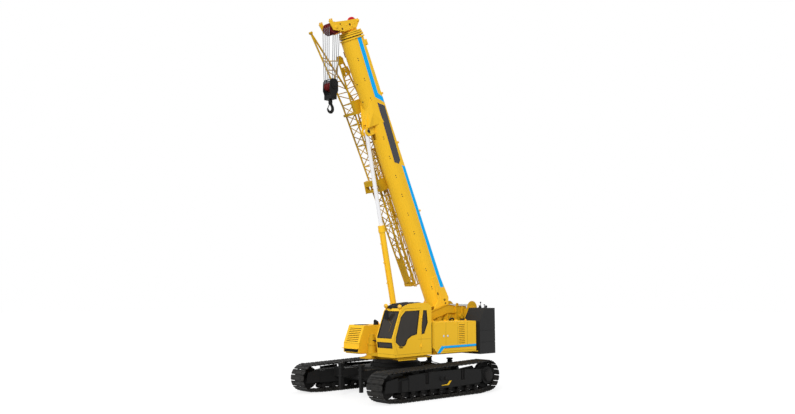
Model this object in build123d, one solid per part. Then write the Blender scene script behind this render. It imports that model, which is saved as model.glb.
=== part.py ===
"""Crawler crane with a telescopic boom, on two tracks.

Millimetres. X points forward, Y to the crane's left (the cab side), Z up.
The slewing axis is X = Y = 0 and the tracks stand on Z = 0.
"""
import math
import os

from build123d import *

os.makedirs("parts", exist_ok=True)


# ---------------------------------------------------------------- small helpers
def box(x, y, z):
    """Box from three (low, high) ranges."""
    solid = Box(x[1] - x[0], y[1] - y[0], z[1] - z[0])
    return solid.moved(Location(((x[0] + x[1]) / 2, (y[0] + y[1]) / 2, (z[0] + z[1]) / 2)))


def rod_y(x, z, radius, y):
    """Cylinder along Y between two Y values."""
    solid = Cylinder(radius, abs(y[1] - y[0])).rotate(Axis.X, 90)
    return solid.moved(Location((x, (y[0] + y[1]) / 2, z)))


def rod_z(x, y, radius, z):
    return Cylinder(radius, z[1] - z[0]).moved(Location((x, y, (z[0] + z[1]) / 2)))


def tube(start, end, radius):
    """Round bar between two points."""
    a, b = Vector(*start), Vector(*end)
    plane = Plane(origin=(a + b) * 0.5, z_dir=(b - a).normalized())
    return plane * Cylinder(radius, (b - a).length)


def bar(start, end, radius, sides=6):
    """Many-sided bar between two points."""
    a, b = Vector(*start), Vector(*end)
    plane = Plane(origin=a, z_dir=(b - a).normalized())
    turns = [2 * math.pi * (i + 0.5) / sides for i in range(sides)]
    rim = [plane.from_local_coords(Vector(radius * math.cos(t), radius * math.sin(t), 0)) for t in turns]
    return Solid.extrude(Face(Wire.make_polygon(rim, close=True)), b - a)


def plate(points, y):
    """Flat plate with an XZ outline, between two Y values."""
    face = Face(Wire.make_polygon([Vector(px, y[0], pz) for px, pz in points], close=True))
    return Solid.extrude(face, Vector(0, y[1] - y[0], 0))


def slab(points, z):
    """Flat plate with an XY outline, between two Z values."""
    face = Face(Wire.make_polygon([Vector(px, py, z[0]) for px, py in points], close=True))
    return Solid.extrude(face, Vector(0, 0, z[1] - z[0]))


def bar_x(points, x):
    """Solid with a YZ outline, between two X values."""
    face = Face(Wire.make_polygon([Vector(x[0], py, pz) for py, pz in points], close=True))
    return Solid.extrude(face, Vector(x[1] - x[0], 0, 0))


def fuse(parts):
    parts = list(parts)
    return parts[0].fuse(*parts[1:]) if len(parts) > 1 else parts[0]


def group(parts):
    return Compound(children=[p for part in parts for p in part.solids()])


def mirror_y(shape):
    solids = [p.mirror(Plane.XZ) for p in shape.solids()]
    return solids[0] if len(solids) == 1 else Compound(children=solids)


def save(shape, name):
    export_step(shape, f"parts/{name}.step")


# ---------------------------------------------------------------- undercarriage
TRACK_Y = 2065            # middle of one track
SHOE_WIDTH = 760
SHOE_PITCH = 204
REAR = dict(x=-2352, z=600, r=540)      # sprocket end of the track, outside of the shoes
FRONT = dict(x=2400, z=520, r=490)      # idler end
FLAT = (-1900, 1950)                    # ground contact between these X values
BELT = 95                               # shoe and chain thickness


def hull(points):
    """Convex outline of 2-D points, counter-clockwise."""
    points = sorted(set(points))

    def half(run):
        out = []
        for p in run:
            while len(out) > 1 and ((out[-1][0] - out[-2][0]) * (p[1] - out[-2][1])
                                    - (out[-1][1] - out[-2][1]) * (p[0] - out[-2][0])) <= 0:
                out.pop()
            out.append(p)
        return out

    lower, upper = half(points), half(points[::-1])
    return lower[:-1] + upper[:-1]


def track_outline(inset):
    """Closed loop of the track, moved inward by inset."""
    points = []
    for end in (REAR, FRONT):
        radius = end["r"] - inset
        for step in range(20):
            angle = math.radians(9 + 18 * step)
            points.append((round(end["x"] + radius * math.cos(angle), 2),
                           round(end["z"] + radius * math.sin(angle), 2)))
    points += [(x, inset) for x in FLAT]
    return hull([p for p in points if p[1] >= inset - 0.01])


SHOE_GAP = 16                           # open space between neighbouring shoes
SHOE_THICK = 34


def shoe_outline():
    """Outside of the track, one straight shoe after another with a gap between them."""
    loop = track_outline(0)
    runs = [(a, b, math.dist(a, b)) for a, b in zip(loop, loop[1:] + loop[:1])]
    total = sum(run[2] for run in runs)
    pitch = total / round(total / SHOE_PITCH)

    def at(distance, inset):
        for a, b, length in runs:
            if distance <= length:
                ux, uz = (b[0] - a[0]) / length, (b[1] - a[1]) / length
                return (a[0] + ux * distance - uz * inset, a[1] + uz * distance + ux * inset)
            distance -= length
        return loop[0]

    points = []
    for i in range(round(total / pitch)):
        start, end = i * pitch + SHOE_GAP / 2, (i + 1) * pitch - SHOE_GAP / 2
        points += [at(start, SHOE_THICK), at(start, 0), at(end, 0), at(end, SHOE_THICK)]
    return points


def make_track():
    half = SHOE_WIDTH / 2
    band = plate(shoe_outline(), (TRACK_Y - half, TRACK_Y + half))
    return band - plate(track_outline(BELT), (TRACK_Y - half - 1, TRACK_Y + half + 1))


FRAME_Y = (TRACK_Y - 235, TRACK_Y + 235)
FRAME_OUTLINE = [(-1980, 330), (1950, 330), (2120, 380), (2120, 640), (1950, 750), (1600, 795), (-1700, 845),
                 (-1980, 750)]
PANEL_DEPTH = 80
PANELS = [  # welded boxes on the frame's outer side, with dark gaps between them
    dict(outline=[(1640, 350), (1930, 350), (1930, 700), (1640, 725)]),
    dict(outline=[(850, 340), (1610, 340), (1610, 850), (850, 890)]),
    dict(outline=[(-890, 340), (690, 340), (690, 905), (-890, 900)]),
    dict(outline=[(-1960, 400), (-1080, 350), (-1080, 890), (-1960, 840)]),
]
GAP_STRIPS = [dict(x=(690, 850), z=(340, 520)), dict(x=(-1080, -890), z=(350, 540))]
NOSE_PLATE = [(2050, 350), (2640, 350), (2570, 720), (2050, 800)]     # covers the idler's lower half
AXLES_X = (-1150, 1150)


def make_track_frame():
    body = plate(FRAME_OUTLINE, FRAME_Y)
    for fork, half in (((1985, 2130), 175), ((-2000, -1895), 75)):
        body = body - box(fork, (TRACK_Y - half, TRACK_Y + half), (200, 900))
    outer = FRAME_Y[1] + PANEL_DEPTH
    panels = [plate(p["outline"], (FRAME_Y[1] - 2, outer)) for p in PANELS]
    strips = [box(g["x"], (FRAME_Y[1] - 2, outer), g["z"]) for g in GAP_STRIPS]
    hub = rod_y(100, 665, 75, (outer - 5, outer + 35))
    yoke = [box((2040, 2420), (y, y + 60), (440, 600)) for y in (FRAME_Y[0], FRAME_Y[1] - 60)]
    nose = [plate(NOSE_PLATE, (y, y + 30)) for y in (FRAME_Y[0] - 28, FRAME_Y[1] - 2)]
    return fuse([body, hub] + panels + strips + yoke + nose)


ROLLER_COUNT = 9
ROLLER_SPAN = (-1780, 1800)
CARRIERS = [dict(x=-900, z=935), dict(x=650, z=890)]


def make_rollers():
    """Bottom rollers, carrier rollers and idler of one side; none of them touch."""
    out = []
    step = (ROLLER_SPAN[1] - ROLLER_SPAN[0]) / (ROLLER_COUNT - 1)
    for i in range(ROLLER_COUNT):
        x = ROLLER_SPAN[0] + i * step
        out.append(rod_y(x, 195, 90, (TRACK_Y - 200, TRACK_Y + 200)))
    for spot in CARRIERS:
        out.append(rod_y(spot["x"], spot["z"], 62, (TRACK_Y - 150, TRACK_Y + 150)))
    idler = rod_y(FRONT["x"], FRONT["z"], FRONT["r"] - BELT - 8, (TRACK_Y - 70, TRACK_Y + 70))
    hub = rod_y(FRONT["x"], FRONT["z"], 120, (TRACK_Y - 160, TRACK_Y + 160))
    return group(out + [fuse([idler, hub])])


def make_final_drive():
    wheel = rod_y(REAR["x"], REAR["z"], REAR["r"] - BELT - 8, (TRACK_Y - 60, TRACK_Y + 60))
    case = rod_y(REAR["x"], REAR["z"], 300, (TRACK_Y + 60, TRACK_Y + 250))
    cap = rod_y(REAR["x"], REAR["z"], 215, (TRACK_Y + 250, TRACK_Y + 330))
    motor = rod_y(REAR["x"], REAR["z"], 200, (TRACK_Y - 330, TRACK_Y - 60))
    bracket = box((REAR["x"], -1980), (TRACK_Y - 235, TRACK_Y - 70), (420, 740))
    return fuse([wheel, case, cap, motor, bracket])


LEGS = [dict(x=2090, y=540), dict(x=2090, y=-540), dict(x=-2270, y=540), dict(x=-2270, y=-540)]


def make_car_body():
    parts = [box((-1350, 1350), (-900, 900), (480, 960)),
             rod_z(0, 0, 900, (900, 1075))]
    for x in AXLES_X:
        parts.append(box((x - 230, x + 230), (-(TRACK_Y - 235), TRACK_Y - 235), (520, 860)))
    for leg in LEGS:
        sign = 1 if leg["x"] > 0 else -1
        reach = (leg["x"] - sign * 60)
        span = (min(sign * 1300, reach), max(sign * 1300, reach))
        parts.append(box(span, (leg["y"] - 90, leg["y"] + 90), (690, 930)))
    return fuse(parts)


def make_legs():
    out = []
    for leg in LEGS:
        x, y = leg["x"], leg["y"]
        out.append(fuse([box((x - 60, x + 60), (y - 60, y + 60), (400, 1090)),
                         box((x - 75, x + 75), (y - 90, y + 90), (1060, 1120)),
                         box((x - 52, x + 52), (y - 52, y + 52), (190, 410))]))
    return group(out)


# ---------------------------------------------------------------- slewing platform
DECK = (1340, 1440)
HOUSE_Y = (640, 1500)
CHEEK_Y = (415, 450)      # boom support plates, left one
FOOT = (-1800, 2550)      # boom foot pin, X and Z
RAM_FOOT = (-131, 2000)   # derrick cylinder's lower pin


def make_slew_ring():
    ring = rod_z(0, 0, 800, (1075, 1200)) - rod_z(0, 0, 600, (1070, 1205))
    return ring


def make_turntable():
    deck = box((-2880, 1180), (-620, 620), DECK) - box((DRIVE_SHELF["x"][0], 1200), DRIVE_SHELF["y"], (1200, 1500))
    well = rod_z(SLEW_DRIVE["x"], SLEW_DRIVE["y"], 275, (DRIVE_SHELF["z"], 1500))
    shelf = box(DRIVE_SHELF["x"], DRIVE_SHELF["y"], (DRIVE_SHELF["z"] - 40, DRIVE_SHELF["z"]))
    riser = box((DRIVE_SHELF["x"][0] - 30, DRIVE_SHELF["x"][0]), DRIVE_SHELF["y"], (DRIVE_SHELF["z"] - 40, DECK[1])) - well
    wings = [box((-2860, -430), (600, 1440), (1360, 1400)), box((-2860, 1150), (-1440, -600), (1360, 1400))]
    stool = rod_z(0, 0, 820, (1212, 1345)) - well
    cab_floor = box((-330, 1250), (600, 1440), (1300, 1355))
    cheek = [(180, 1430), (180, 2130), (40, 2230), (-320, 2230), (-1250, 2790), (-1483, 2870), (-2134, 3056),
             (-2354, 3088), (-2688, 3031), (-3260, 3022), (-3320, 2960), (-3320, 2250), (-2860, 1900), (-2860, 1430)]
    gussets = [[(-1508, 2585), (-2185, 2756), (-2046, 2498)], [(-2292, 2492), (-2617, 2748), (-2403, 2489)]]
    plates = [plate(cheek, CHEEK_Y), plate(cheek, (-CHEEK_Y[1], -CHEEK_Y[0]))]
    main = DRUMS[0]
    holes = [box((-2750, -2100), (-500, 500), (1650, 2150)), box((-1500, -600), (-500, 500), (1620, 2000)),
             rod_y(main["x"], main["z"], GEAR_CAP["r"] + 8, (350, 500))]
    holes += [plate(outline, (-500, 500)) for outline in gussets]
    for hole in holes:
        plates = [p - hole for p in plates]
    aux = DRUMS[1]
    arm_y = (aux["half"] + 20, aux["half"] + 60)
    front = aux["x"] + aux["flange"] + 20
    arm = fuse([box((aux["x"] - 80, front + 30), arm_y, (NOTCH_FLOOR + 10, aux["z"] + 30)),
                box((front, front + 30), (CHEEK_Y[0], arm_y[1]), (NOTCH_FLOOR + 10, aux["z"] - 10))])
    pins = [rod_y(FOOT[0], FOOT[1], 75, (-415, -375)), rod_y(FOOT[0], FOOT[1], 75, (375, 415))]
    ram_lugs = [rod_y(RAM_FOOT[0], RAM_FOOT[1], 70, (-420, 420))]
    tie = box((-3310, -3210), (-420, 420), (2260, 2350))
    return fuse([deck, shelf, riser, stool, cab_floor] + wings + plates + pins + ram_lugs + [tie, arm, mirror_y(arm)])


DRUMS = [  # winches behind the boom foot, the second in the counterweight's recess
    dict(name="main_drum", x=-3000, z=2660, r=220, flange=290, half=330, axle=CHEEK_Y[0] - 6),
    dict(name="aux_drum", x=-3480, z=2935, r=140, flange=280, half=625, axle=641),
]
GEAR_CAP = dict(r=105, y=(320, 520))     # end of the main winch's gear, through the left support plate
NOTCH_FLOOR = 2535


def make_drum(d):
    half = d["half"]
    body = rod_y(d["x"], d["z"], d["r"], (-half, half))
    rims = [rod_y(d["x"], d["z"], d["flange"], (y, y + 25)) for y in (-half, half - 25)]
    axle = rod_y(d["x"], d["z"], 60, (-d["axle"], d["axle"]))
    extra = [rod_y(d["x"], d["z"], GEAR_CAP["r"], GEAR_CAP["y"])] if d is DRUMS[0] else []
    return fuse([body, axle] + rims + extra)


SLEW_DRIVE = dict(x=860, y=-320)
DRIVE_SHELF = dict(x=(520, 1180), y=(-620, -30), z=1255)     # sunk front corner of the deck


def make_slew_drive():
    base = DRIVE_SHELF["z"]
    steps = [(265, 0, 45), (205, 45, 120), (225, 120, 150), (150, 150, 430), (175, 430, 470), (125, 470, 690),
             (90, 690, 800)]
    return fuse([rod_z(SLEW_DRIVE["x"], SLEW_DRIVE["y"], r, (base + z0, base + z1 + 2)) for r, z0, z1 in steps])


def make_engine_house():
    """Right-hand body over the engine, with a sloped louvred front."""
    side = [(-2690, 1400), (1200, 1400), (1200, 1730), (950, 2360), (-2690, 2360)]
    shell = plate(side, (-HOUSE_Y[1], -HOUSE_Y[0]))
    inner = [(-2675, 1424), (1180, 1424), (1180, 1722), (937, 2340), (-2675, 2340)]
    shell = shell - plate(inner, (-HOUSE_Y[1] + 15, -HOUSE_Y[0] - 15))
    span = (-HOUSE_Y[1] + 110, -HOUSE_Y[0] - 110)
    for i in range(FRONT_SLITS["count"]):
        z = FRONT_SLITS["z"] + i * FRONT_SLITS["pitch"]
        shell = shell - box((900, 1260), span, (z, z + FRONT_SLITS["open"]))
    for x in SIDE_SLITS["x"]:
        for i in range(SIDE_SLITS["count"]):
            z = SIDE_SLITS["z"] + i * SIDE_SLITS["pitch"]
            shell = shell - box(x, (-HOUSE_Y[1] - 5, -HOUSE_Y[1] + 20), (z, z + SIDE_SLITS["open"]))
    lip = box((1195, 1300), (-HOUSE_Y[1], -HOUSE_Y[0]), (1535, 1557))
    return fuse([shell, lip])


FRONT_SLITS = dict(z=1790, pitch=64, open=30, count=8)                                  # in the sloped front
SIDE_SLITS = dict(x=((-1900, -1250), (-1050, -400)), z=1620, pitch=80, open=34, count=8)  # in the right side


def make_side_house():
    side = [(-2690, 1400), (-620, 1400), (-430, 1600), (-430, 2500), (-2690, 2490)]
    shell = plate(side, HOUSE_Y)
    inner = [(-2675, 1424), (-612, 1424), (-445, 1606), (-445, 2484), (-2675, 2474)]
    shell = shell - plate(inner, (HOUSE_Y[0] + 15, HOUSE_Y[1] - 15))
    for i in range(LOUVRE["count"]):
        z = LOUVRE["z"] + i * LOUVRE["pitch"]
        shell = shell - box(LOUVRE["x"], (HOUSE_Y[1] - 20, HOUSE_Y[1] + 5), (z, z + LOUVRE["open"]))
    return shell


LOUVRE = dict(x=(-2080, -1765), z=1715, pitch=66, open=30, count=11)                    # in the left side


WEIGHT_X = (-3790, -2910)
WEIGHT_SEAMS = (1700, 2130)     # joints between the stacked slabs


def make_counterweight():
    rear, front = WEIGHT_X
    half = HOUSE_Y[1]
    side = [(front, 1265), (rear, 1265), (rear, 2960), (front - 305, 2960), (front, 2470)]
    block = plate(side, (-half, half))
    notch = box((-3600, front + 10), (-480, 480), (1800, 3000))
    recess = box((rear - 10, front + 10), (-700, 700), (NOTCH_FLOOR, 3000))
    block = block - notch - recess
    for z in WEIGHT_SEAMS:
        groove = (z - 6, z + 6)
        block = block - box((rear - 5, rear + 12), (-half - 5, half + 5), groove)
        for y in ((half - 12, half + 5), (-half - 5, -half + 12)):
            block = block - box((rear - 5, front + 5), y, groove)
    return block


# ---------------------------------------------------------------- operator's cab
CAB_Y = (665, 1500)
CAB_SIDE = [(-335, 1385), (1450, 1360), (1545, 1990), (1185, 2910), (1060, 3060), (800, 3150), (300, 3195),
            (-150, 3185), (-335, 3060)]
CAB_SKIN = 45
DOOR_X = (330, 1310)


def inset_outline(points, d):
    """Move every edge of a closed counter-clockwise outline inward."""
    out = []
    count = len(points)
    for i in range(count):
        (x0, y0), (x1, y1), (x2, y2) = points[i - 1], points[i], points[(i + 1) % count]
        e1, e2 = (x1 - x0, y1 - y0), (x2 - x1, y2 - y1)
        n1 = math.hypot(*e1), math.hypot(*e2)
        a = (-e1[1] / n1[0], e1[0] / n1[0])
        b = (-e2[1] / n1[1], e2[0] / n1[1])
        k = 1 + a[0] * b[0] + a[1] * b[1]
        out.append((x1 + d * (a[0] + b[0]) / k, y1 + d * (a[1] + b[1]) / k))
    return out


DOOR_OUTLINE = [(190, 1470), (1270, 1455), (1450, 1900), (1440, 2050), (1215, 2730), (1000, 2985), (190, 3010)]
DOOR_WINDOW = [(398, 2115), (656, 2063), (845, 1960), (934, 1784), (1010, 1734), (1206, 1734), (1389, 1881),
               (1378, 2035), (1151, 2710), (932, 2906), (259, 2927)]
SIDE_WINDOW = [(33, 2134), (150, 2110), (150, 2400), (73, 2926), (-86, 2924), (-133, 2502)]
FRONT_WINDOW_Z = (2000, 2915)
LOWER_WINDOW_Z = (1670, 1870)
GLASS_EDGE = 42                # frame left beside the front and roof glass


RIGHT_WINDOW = [(-200, 2050), (1400, 2050), (1110, 2880), (-200, 2880)]
ROOF_GLASS_X = (150, 1020)


def make_cab_shell():
    shell = plate(CAB_SIDE, CAB_Y) - plate(inset_outline(CAB_SIDE, CAB_SKIN), (CAB_Y[0] + CAB_SKIN, CAB_Y[1] - CAB_SKIN))
    cut_door = plate(inset_outline(DOOR_OUTLINE, -8), (CAB_Y[1] - CAB_SKIN - 5, CAB_Y[1] + 5))
    cut_side = plate(SIDE_WINDOW, (CAB_Y[1] - CAB_SKIN - 5, CAB_Y[1] + 5))
    glass_y = (CAB_Y[0] + GLASS_EDGE, CAB_Y[1] - GLASS_EDGE)
    cut_front = box((1150, 1700), glass_y, FRONT_WINDOW_Z)
    cut_low = box((1350, 1700), glass_y, LOWER_WINDOW_Z)
    cut_rear = box((-400, -200), glass_y, (2200, 2850))
    cut_right = plate(RIGHT_WINDOW, (CAB_Y[0] - 5, CAB_Y[0] + CAB_SKIN + 5))
    cut_roof = box(ROOF_GLASS_X, glass_y, (2990, 3300))
    return shell - cut_door - cut_side - cut_front - cut_low - cut_rear - cut_right - cut_roof


def make_cab_glass():
    """Windows fixed in the cab shell, each a separate pane."""
    inner = plate(inset_outline(CAB_SIDE, 15), CAB_Y) - plate(inset_outline(CAB_SIDE, 27), CAB_Y)
    glass_y = (CAB_Y[0] + GLASS_EDGE, CAB_Y[1] - GLASS_EDGE)
    front = inner & box((1150, 1700), glass_y, FRONT_WINDOW_Z)
    low = inner & box((1350, 1700), glass_y, LOWER_WINDOW_Z)
    rear = inner & box((-400, -200), glass_y, (2200, 2850))
    roof = inner & box(ROOF_GLASS_X, glass_y, (2990, 3300))
    side = plate(SIDE_WINDOW, (CAB_Y[1] - 27, CAB_Y[1] - 15))
    right = plate(RIGHT_WINDOW, (CAB_Y[0] + 15, CAB_Y[0] + 27))
    return group([front, low, rear, roof, side, right])


def make_cab_door():
    y = (CAB_Y[1] - CAB_SKIN, CAB_Y[1])
    leaf = plate(DOOR_OUTLINE, y) - plate(DOOR_WINDOW, (y[0] - 1, y[1] + 1))
    handle = box((1080, 1200), (y[1] - 2, y[1] + 28), (1690, 1725))
    hinges = [rod_z(DOOR_HINGE[0], DOOR_HINGE[1], 14, (z, z + 110)) for z in (1650, 2650)]
    reach = DOOR_OUTLINE[0][0] + 40
    straps = [box((DOOR_HINGE[0] - 5, reach), (y[1] + 6, y[1] + 18), (z, z + 110)) for z in (1650, 2650)]
    pads = [box((reach - 26, reach), (y[1] - 3, y[1] + 18), (z, z + 110)) for z in (1650, 2650)]
    return fuse([leaf, handle] + hinges + straps + pads)


DOOR_HINGE = (165, 1520)


def make_door_glass():
    return plate(DOOR_WINDOW, (CAB_Y[1] - 27, CAB_Y[1] - 15))


def make_seat():
    y = (860, 1310)
    return fuse([box((250, 800), y, (1800, 1920)), box((130, 290), y, (1860, 2600)),
                 box((340, 680), (940, 1230), (1429, 1820)),
                 box((300, 760), (760, 862), (1980, 2060)), box((300, 760), (1308, 1400), (1980, 2060)),
                 box((1050, 1150), (930, 1250), (1428, 2100))]
                + [box((700, 1100), (1050, 1120), (1429, 1480))])


LAMPS = [dict(x=1135, y=720, z=3085), dict(x=1150, y=1440, z=3065)]     # work lamps on the cab's front edge


def make_cab_lamps():
    """Round lamps, each on a short stalk that stands on the roof's front edge."""
    out = []
    for lamp in LAMPS:
        x, y, z = lamp["x"], lamp["y"], lamp["z"]
        stalk = rod_z(x - 40, y, 14, (2950, z))
        out.append((fuse([tube((x - 60, y, z), (x + 40, y, z), 72), stalk]) - plate(CAB_SIDE, CAB_Y)))
    return group([piece.solids().sort_by(SortBy.VOLUME)[-1] for piece in out])


MIRROR = dict(x=(1337, 1372), y=(895, 1070), z=(2635, 2945))


def make_cab_mirror():
    """Mirror on a bent tube at the cab's front edge, before the windscreen."""
    y = (MIRROR["y"][0] + MIRROR["y"][1]) / 2
    x = (MIRROR["x"][0] + MIRROR["x"][1]) / 2
    top = MIRROR["z"][1]
    arm = [bar((x, y, top + 60), (x, y, top - 200), 15), bar((x + 8, y - 3, top + 45), (900, y - 3, top + 45), 12)]
    body = fuse([box(MIRROR["x"], MIRROR["y"], MIRROR["z"])] + arm) - plate(CAB_SIDE, CAB_Y)
    return body.solids().sort_by(SortBy.VOLUME)[-1]


def make_exhaust():
    return fuse([rod_z(300, -740, 88, (2360, 2510)), rod_z(300, -740, 96, (2360, 2380))])


# ---------------------------------------------------------------- boom
# Boom pieces are drawn level, with the foot pin at the origin, then raised.
BOOM_ANGLE = 65.5
HEAD_X = 11150            # foot pin to the web that closes the innermost section
SECTIONS = [  # w half width, top, spring line of the round belly, rear end, front end, wall
    dict(w=360, top=862, side=496, rear=420, front=HEAD_X - 290, wall=12),
    dict(w=322, top=822, side=512, rear=480, front=HEAD_X - 190, wall=10),
    dict(w=288, top=786, side=516, rear=560, front=HEAD_X - 120, wall=10),
    dict(w=254, top=750, side=520, rear=640, front=HEAD_X - 60, wall=10),
    dict(w=220, top=714, side=524, rear=720, front=HEAD_X, wall=10),
]
EYE = (7520, -144)        # derrick rod's pin on the boom


def raise_boom(shape):
    shape = shape.rotate(Axis.Y, -BOOM_ANGLE)
    return shape.moved(Location((FOOT[0], 0, FOOT[1])))


def boom_profile(s, grow, x0, x1):
    """Flat-topped tube section with a round belly, grown outward by grow."""
    w, top, side = s["w"] + grow, s["top"] + grow, s["side"]
    points = [(w, side), (w, top - 40), (w - 40, top), (-w + 40, top), (-w, top - 40), (-w, side)]
    points += [(-w * math.cos(math.radians(a)), side - w * math.sin(math.radians(a))) for a in range(15, 180, 15)]
    return bar_x(points, (x0, x1))


def make_section(s, collar):
    tube_part = boom_profile(s, 0, s["rear"], s["front"])
    tube_part = fuse([tube_part, boom_profile(s, collar["grow"], s["front"] - collar["length"], s["front"])])
    return tube_part - boom_profile(s, -s["wall"], s["rear"] - 1, s["front"] + 1)


COLLARS = [dict(grow=30, length=58), dict(grow=62, length=60), dict(grow=84, length=50), dict(grow=106, length=44)]


SADDLE = dict(rear=120, low=9, nose=1200, rise=479)     # wedge under the base section, measured from the rod's pin
SADDLE_SIDE = [(0, 200, 0), (0, 215, 215), (460, 300, 325)]     # its left side: corner, shoulder and the gusset's end


def make_saddle():
    """Wedge under the base section: flat underneath, with a gusset and a flank on each side."""
    s = SECTIONS[0]
    rear, low = EYE[0] + SADDLE["rear"], EYE[1] + SADDLE["low"]
    nose = (EYE[0] + SADDLE["nose"], s["w"] - 50, EYE[1] + SADDLE["rise"])
    left = [(rear + x, y, low + z) for x, y, z in SADDLE_SIDE] + [(rear, s["w"] + 14, s["side"] - 16), nose]
    right = [(x, -y, z) for x, y, z in left]
    faces = [[left[0], right[0], right[4], left[4]], [left[3], left[4], right[4], right[3]],
             [left[0], left[1], left[3], right[3], right[1], right[0]]]
    for side in (left, right):
        corner, shoulder, gusset, flank, nose = side
        faces += [[corner, shoulder, gusset], [corner, gusset, nose], [shoulder, flank, gusset],
                  [flank, nose, gusset]]
    faces = [Face(Wire.make_polygon([Vector(*p) for p in outline], close=True)) for outline in faces]
    return Solid(Shell(faces))


def make_boom_base():
    s = SECTIONS[0]
    shell = make_section(s, COLLARS[0])
    foot_side = [(-110, -130), (60, -170), (430, 40), (620, 340), (1500, 400), (1500, 800), (900, 862), (488, 905),
                 (200, 760), (-60, 420), (-150, 120)]
    lobes = [plate(foot_side, (325, 368)), plate(foot_side, (-368, -325))]
    bulk = box((430, 470), (-350, 350), (160, 850))
    cheek = [(EYE[0] + x, EYE[1] + z) for x, z in ((-170, 294), (-190, -36), (-80, -146), (40, -146), (130, -66),
                                                    (700, 270), (700, 300))]
    cheeks = [plate(cheek, (80, 120)), plate(cheek, (-120, -80))]
    saddle = make_saddle() - box((EYE[0] - 20, EYE[0] + 240), (-80, 80), (-400, 10))
    keel_cut = box((EYE[0] - 410, EYE[0] + 110), (-76, 76), (-400, 190))
    solid = fuse([shell, bulk, saddle] + lobes + cheeks)
    inner = boom_profile(s, -s["wall"], 600, 11000)
    bore = rod_y(0, 0, 80, (-400, 400))
    eye_bores = rod_y(EYE[0], EYE[1], 38, (-130, 130))
    return solid - inner - keel_cut - bore - eye_bores


HEAD_SIDE = [(HEAD_X + x, z) for x, z in ((495, -473), (408, -249), (350, 300), (316, 861), (247, 948), (20, 708),
                                         (-7, 97), (147, -383))]
SHEAVES = [dict(name="front_sheaves", x=HEAD_X + 220, z=-227, r=215, y=(-210, -90, 30, 150), width=60),
           dict(name="rear_sheave", x=HEAD_X + 245, z=835, r=200, y=(-30,), width=60)]


JIB_PIN = (HEAD_X + 515, -365)
JIB_PIN_R = 25


def make_head():
    plates = [plate(HEAD_SIDE, (262, 300)), plate(HEAD_SIDE, (-300, -262))]
    web = boom_profile(SECTIONS[4], 44, HEAD_X, HEAD_X + 22)
    nose = box((HEAD_X + 20, HEAD_X + 310), (-265, 265), (230, 262))
    ties = [rod_y(HEAD_X + 110, 480, 30, (-262, 262))]
    pins = [rod_y(sh["x"], sh["z"], 40, (-300, 300)) for sh in SHEAVES]
    tip_lugs = [box((JIB_PIN[0] - 130, JIB_PIN[0] + 35), (y, y + 36), (JIB_PIN[1] - 65, JIB_PIN[1] + 65))
                for y in (-300, 264)]
    jib_bore = rod_y(JIB_PIN[0], JIB_PIN[1], JIB_PIN_R, (-310, 310))
    collar = (boom_profile(SECTIONS[4], 40, HEAD_X - 50, HEAD_X + 1)
              - boom_profile(SECTIONS[4], 0, HEAD_X - 60, HEAD_X + 10))
    return fuse([web, nose, collar] + plates + ties + pins + tip_lugs) - jib_bore


def make_sheaves(sh):
    wheels = []
    for y in sh["y"]:
        wheels.append(rod_y(sh["x"], sh["z"], sh["r"], (y, y + sh["width"])))
    first, last = sh["y"][0], sh["y"][-1] + sh["width"]
    body = fuse(wheels + [rod_y(sh["x"], sh["z"], 95, (first, last))])
    return body - rod_y(sh["x"], sh["z"], 46, (first - 1, last + 1))


# ---------------------------------------------------------------- stowed fly jib
JIB_LUG = (HEAD_X + 330, -330)            # pin end of the far frame, beside the head
JIB_NECK = HEAD_X - 2530                  # where the lattice's even bays end and its root frames narrow
JIB_CHORDS = {  # x, y, z of each chord's tip, neck and root; near is the side toward the boom
    "near_low": [(1350, -700, 215), (JIB_NECK, -495, 25), (HEAD_X - 820, -440, 30)],
    "near_high": [(1350, -700, 375), (JIB_NECK, -495, 550), (HEAD_X - 820, -440, 190)],
    "far_high": [(1350, -985, 375), (JIB_NECK, -1000, 640), (HEAD_X + 130, -1010, -250)],
    "far_low": [(1350, -985, 215), (JIB_NECK, -1000, 20), (JIB_LUG[0], -1010, JIB_LUG[1])],
}
JIB_FACES = [("near_low", "near_high"), ("near_high", "far_high"), ("far_high", "far_low"), ("far_low", "near_low")]
JIB_BAYS = 9
CHORD_R, BRACE_R = 34, 17
ROOT_TIES = (0.16, 0.33, 0.50, 0.67)      # cross ties in the root frames, as parts of their length
TIP_PANEL = (1420, 2420)                  # closed front panel between the low chords
GUSSETS = [  # plates on the near root frame: x from the head web, z
    dict(outline=[(-1070, -10), (-760, -10), (-760, 150), (-870, 250), (-1070, 225)], y=(-478, -410), hole=None),
    dict(outline=[(-1520, 90), (-1190, 90), (-1190, 345), (-1440, 400), (-1520, 330)], y=(-490, -425), hole=55),
]


def between(a, b, part):
    return tuple(a[i] + part * (b[i] - a[i]) for i in range(3))


def jib_corner(part, chord):
    """Point on a chord, part of the way from the jib's tip to its neck."""
    return between(JIB_CHORDS[chord][0], JIB_CHORDS[chord][1], part)


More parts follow.
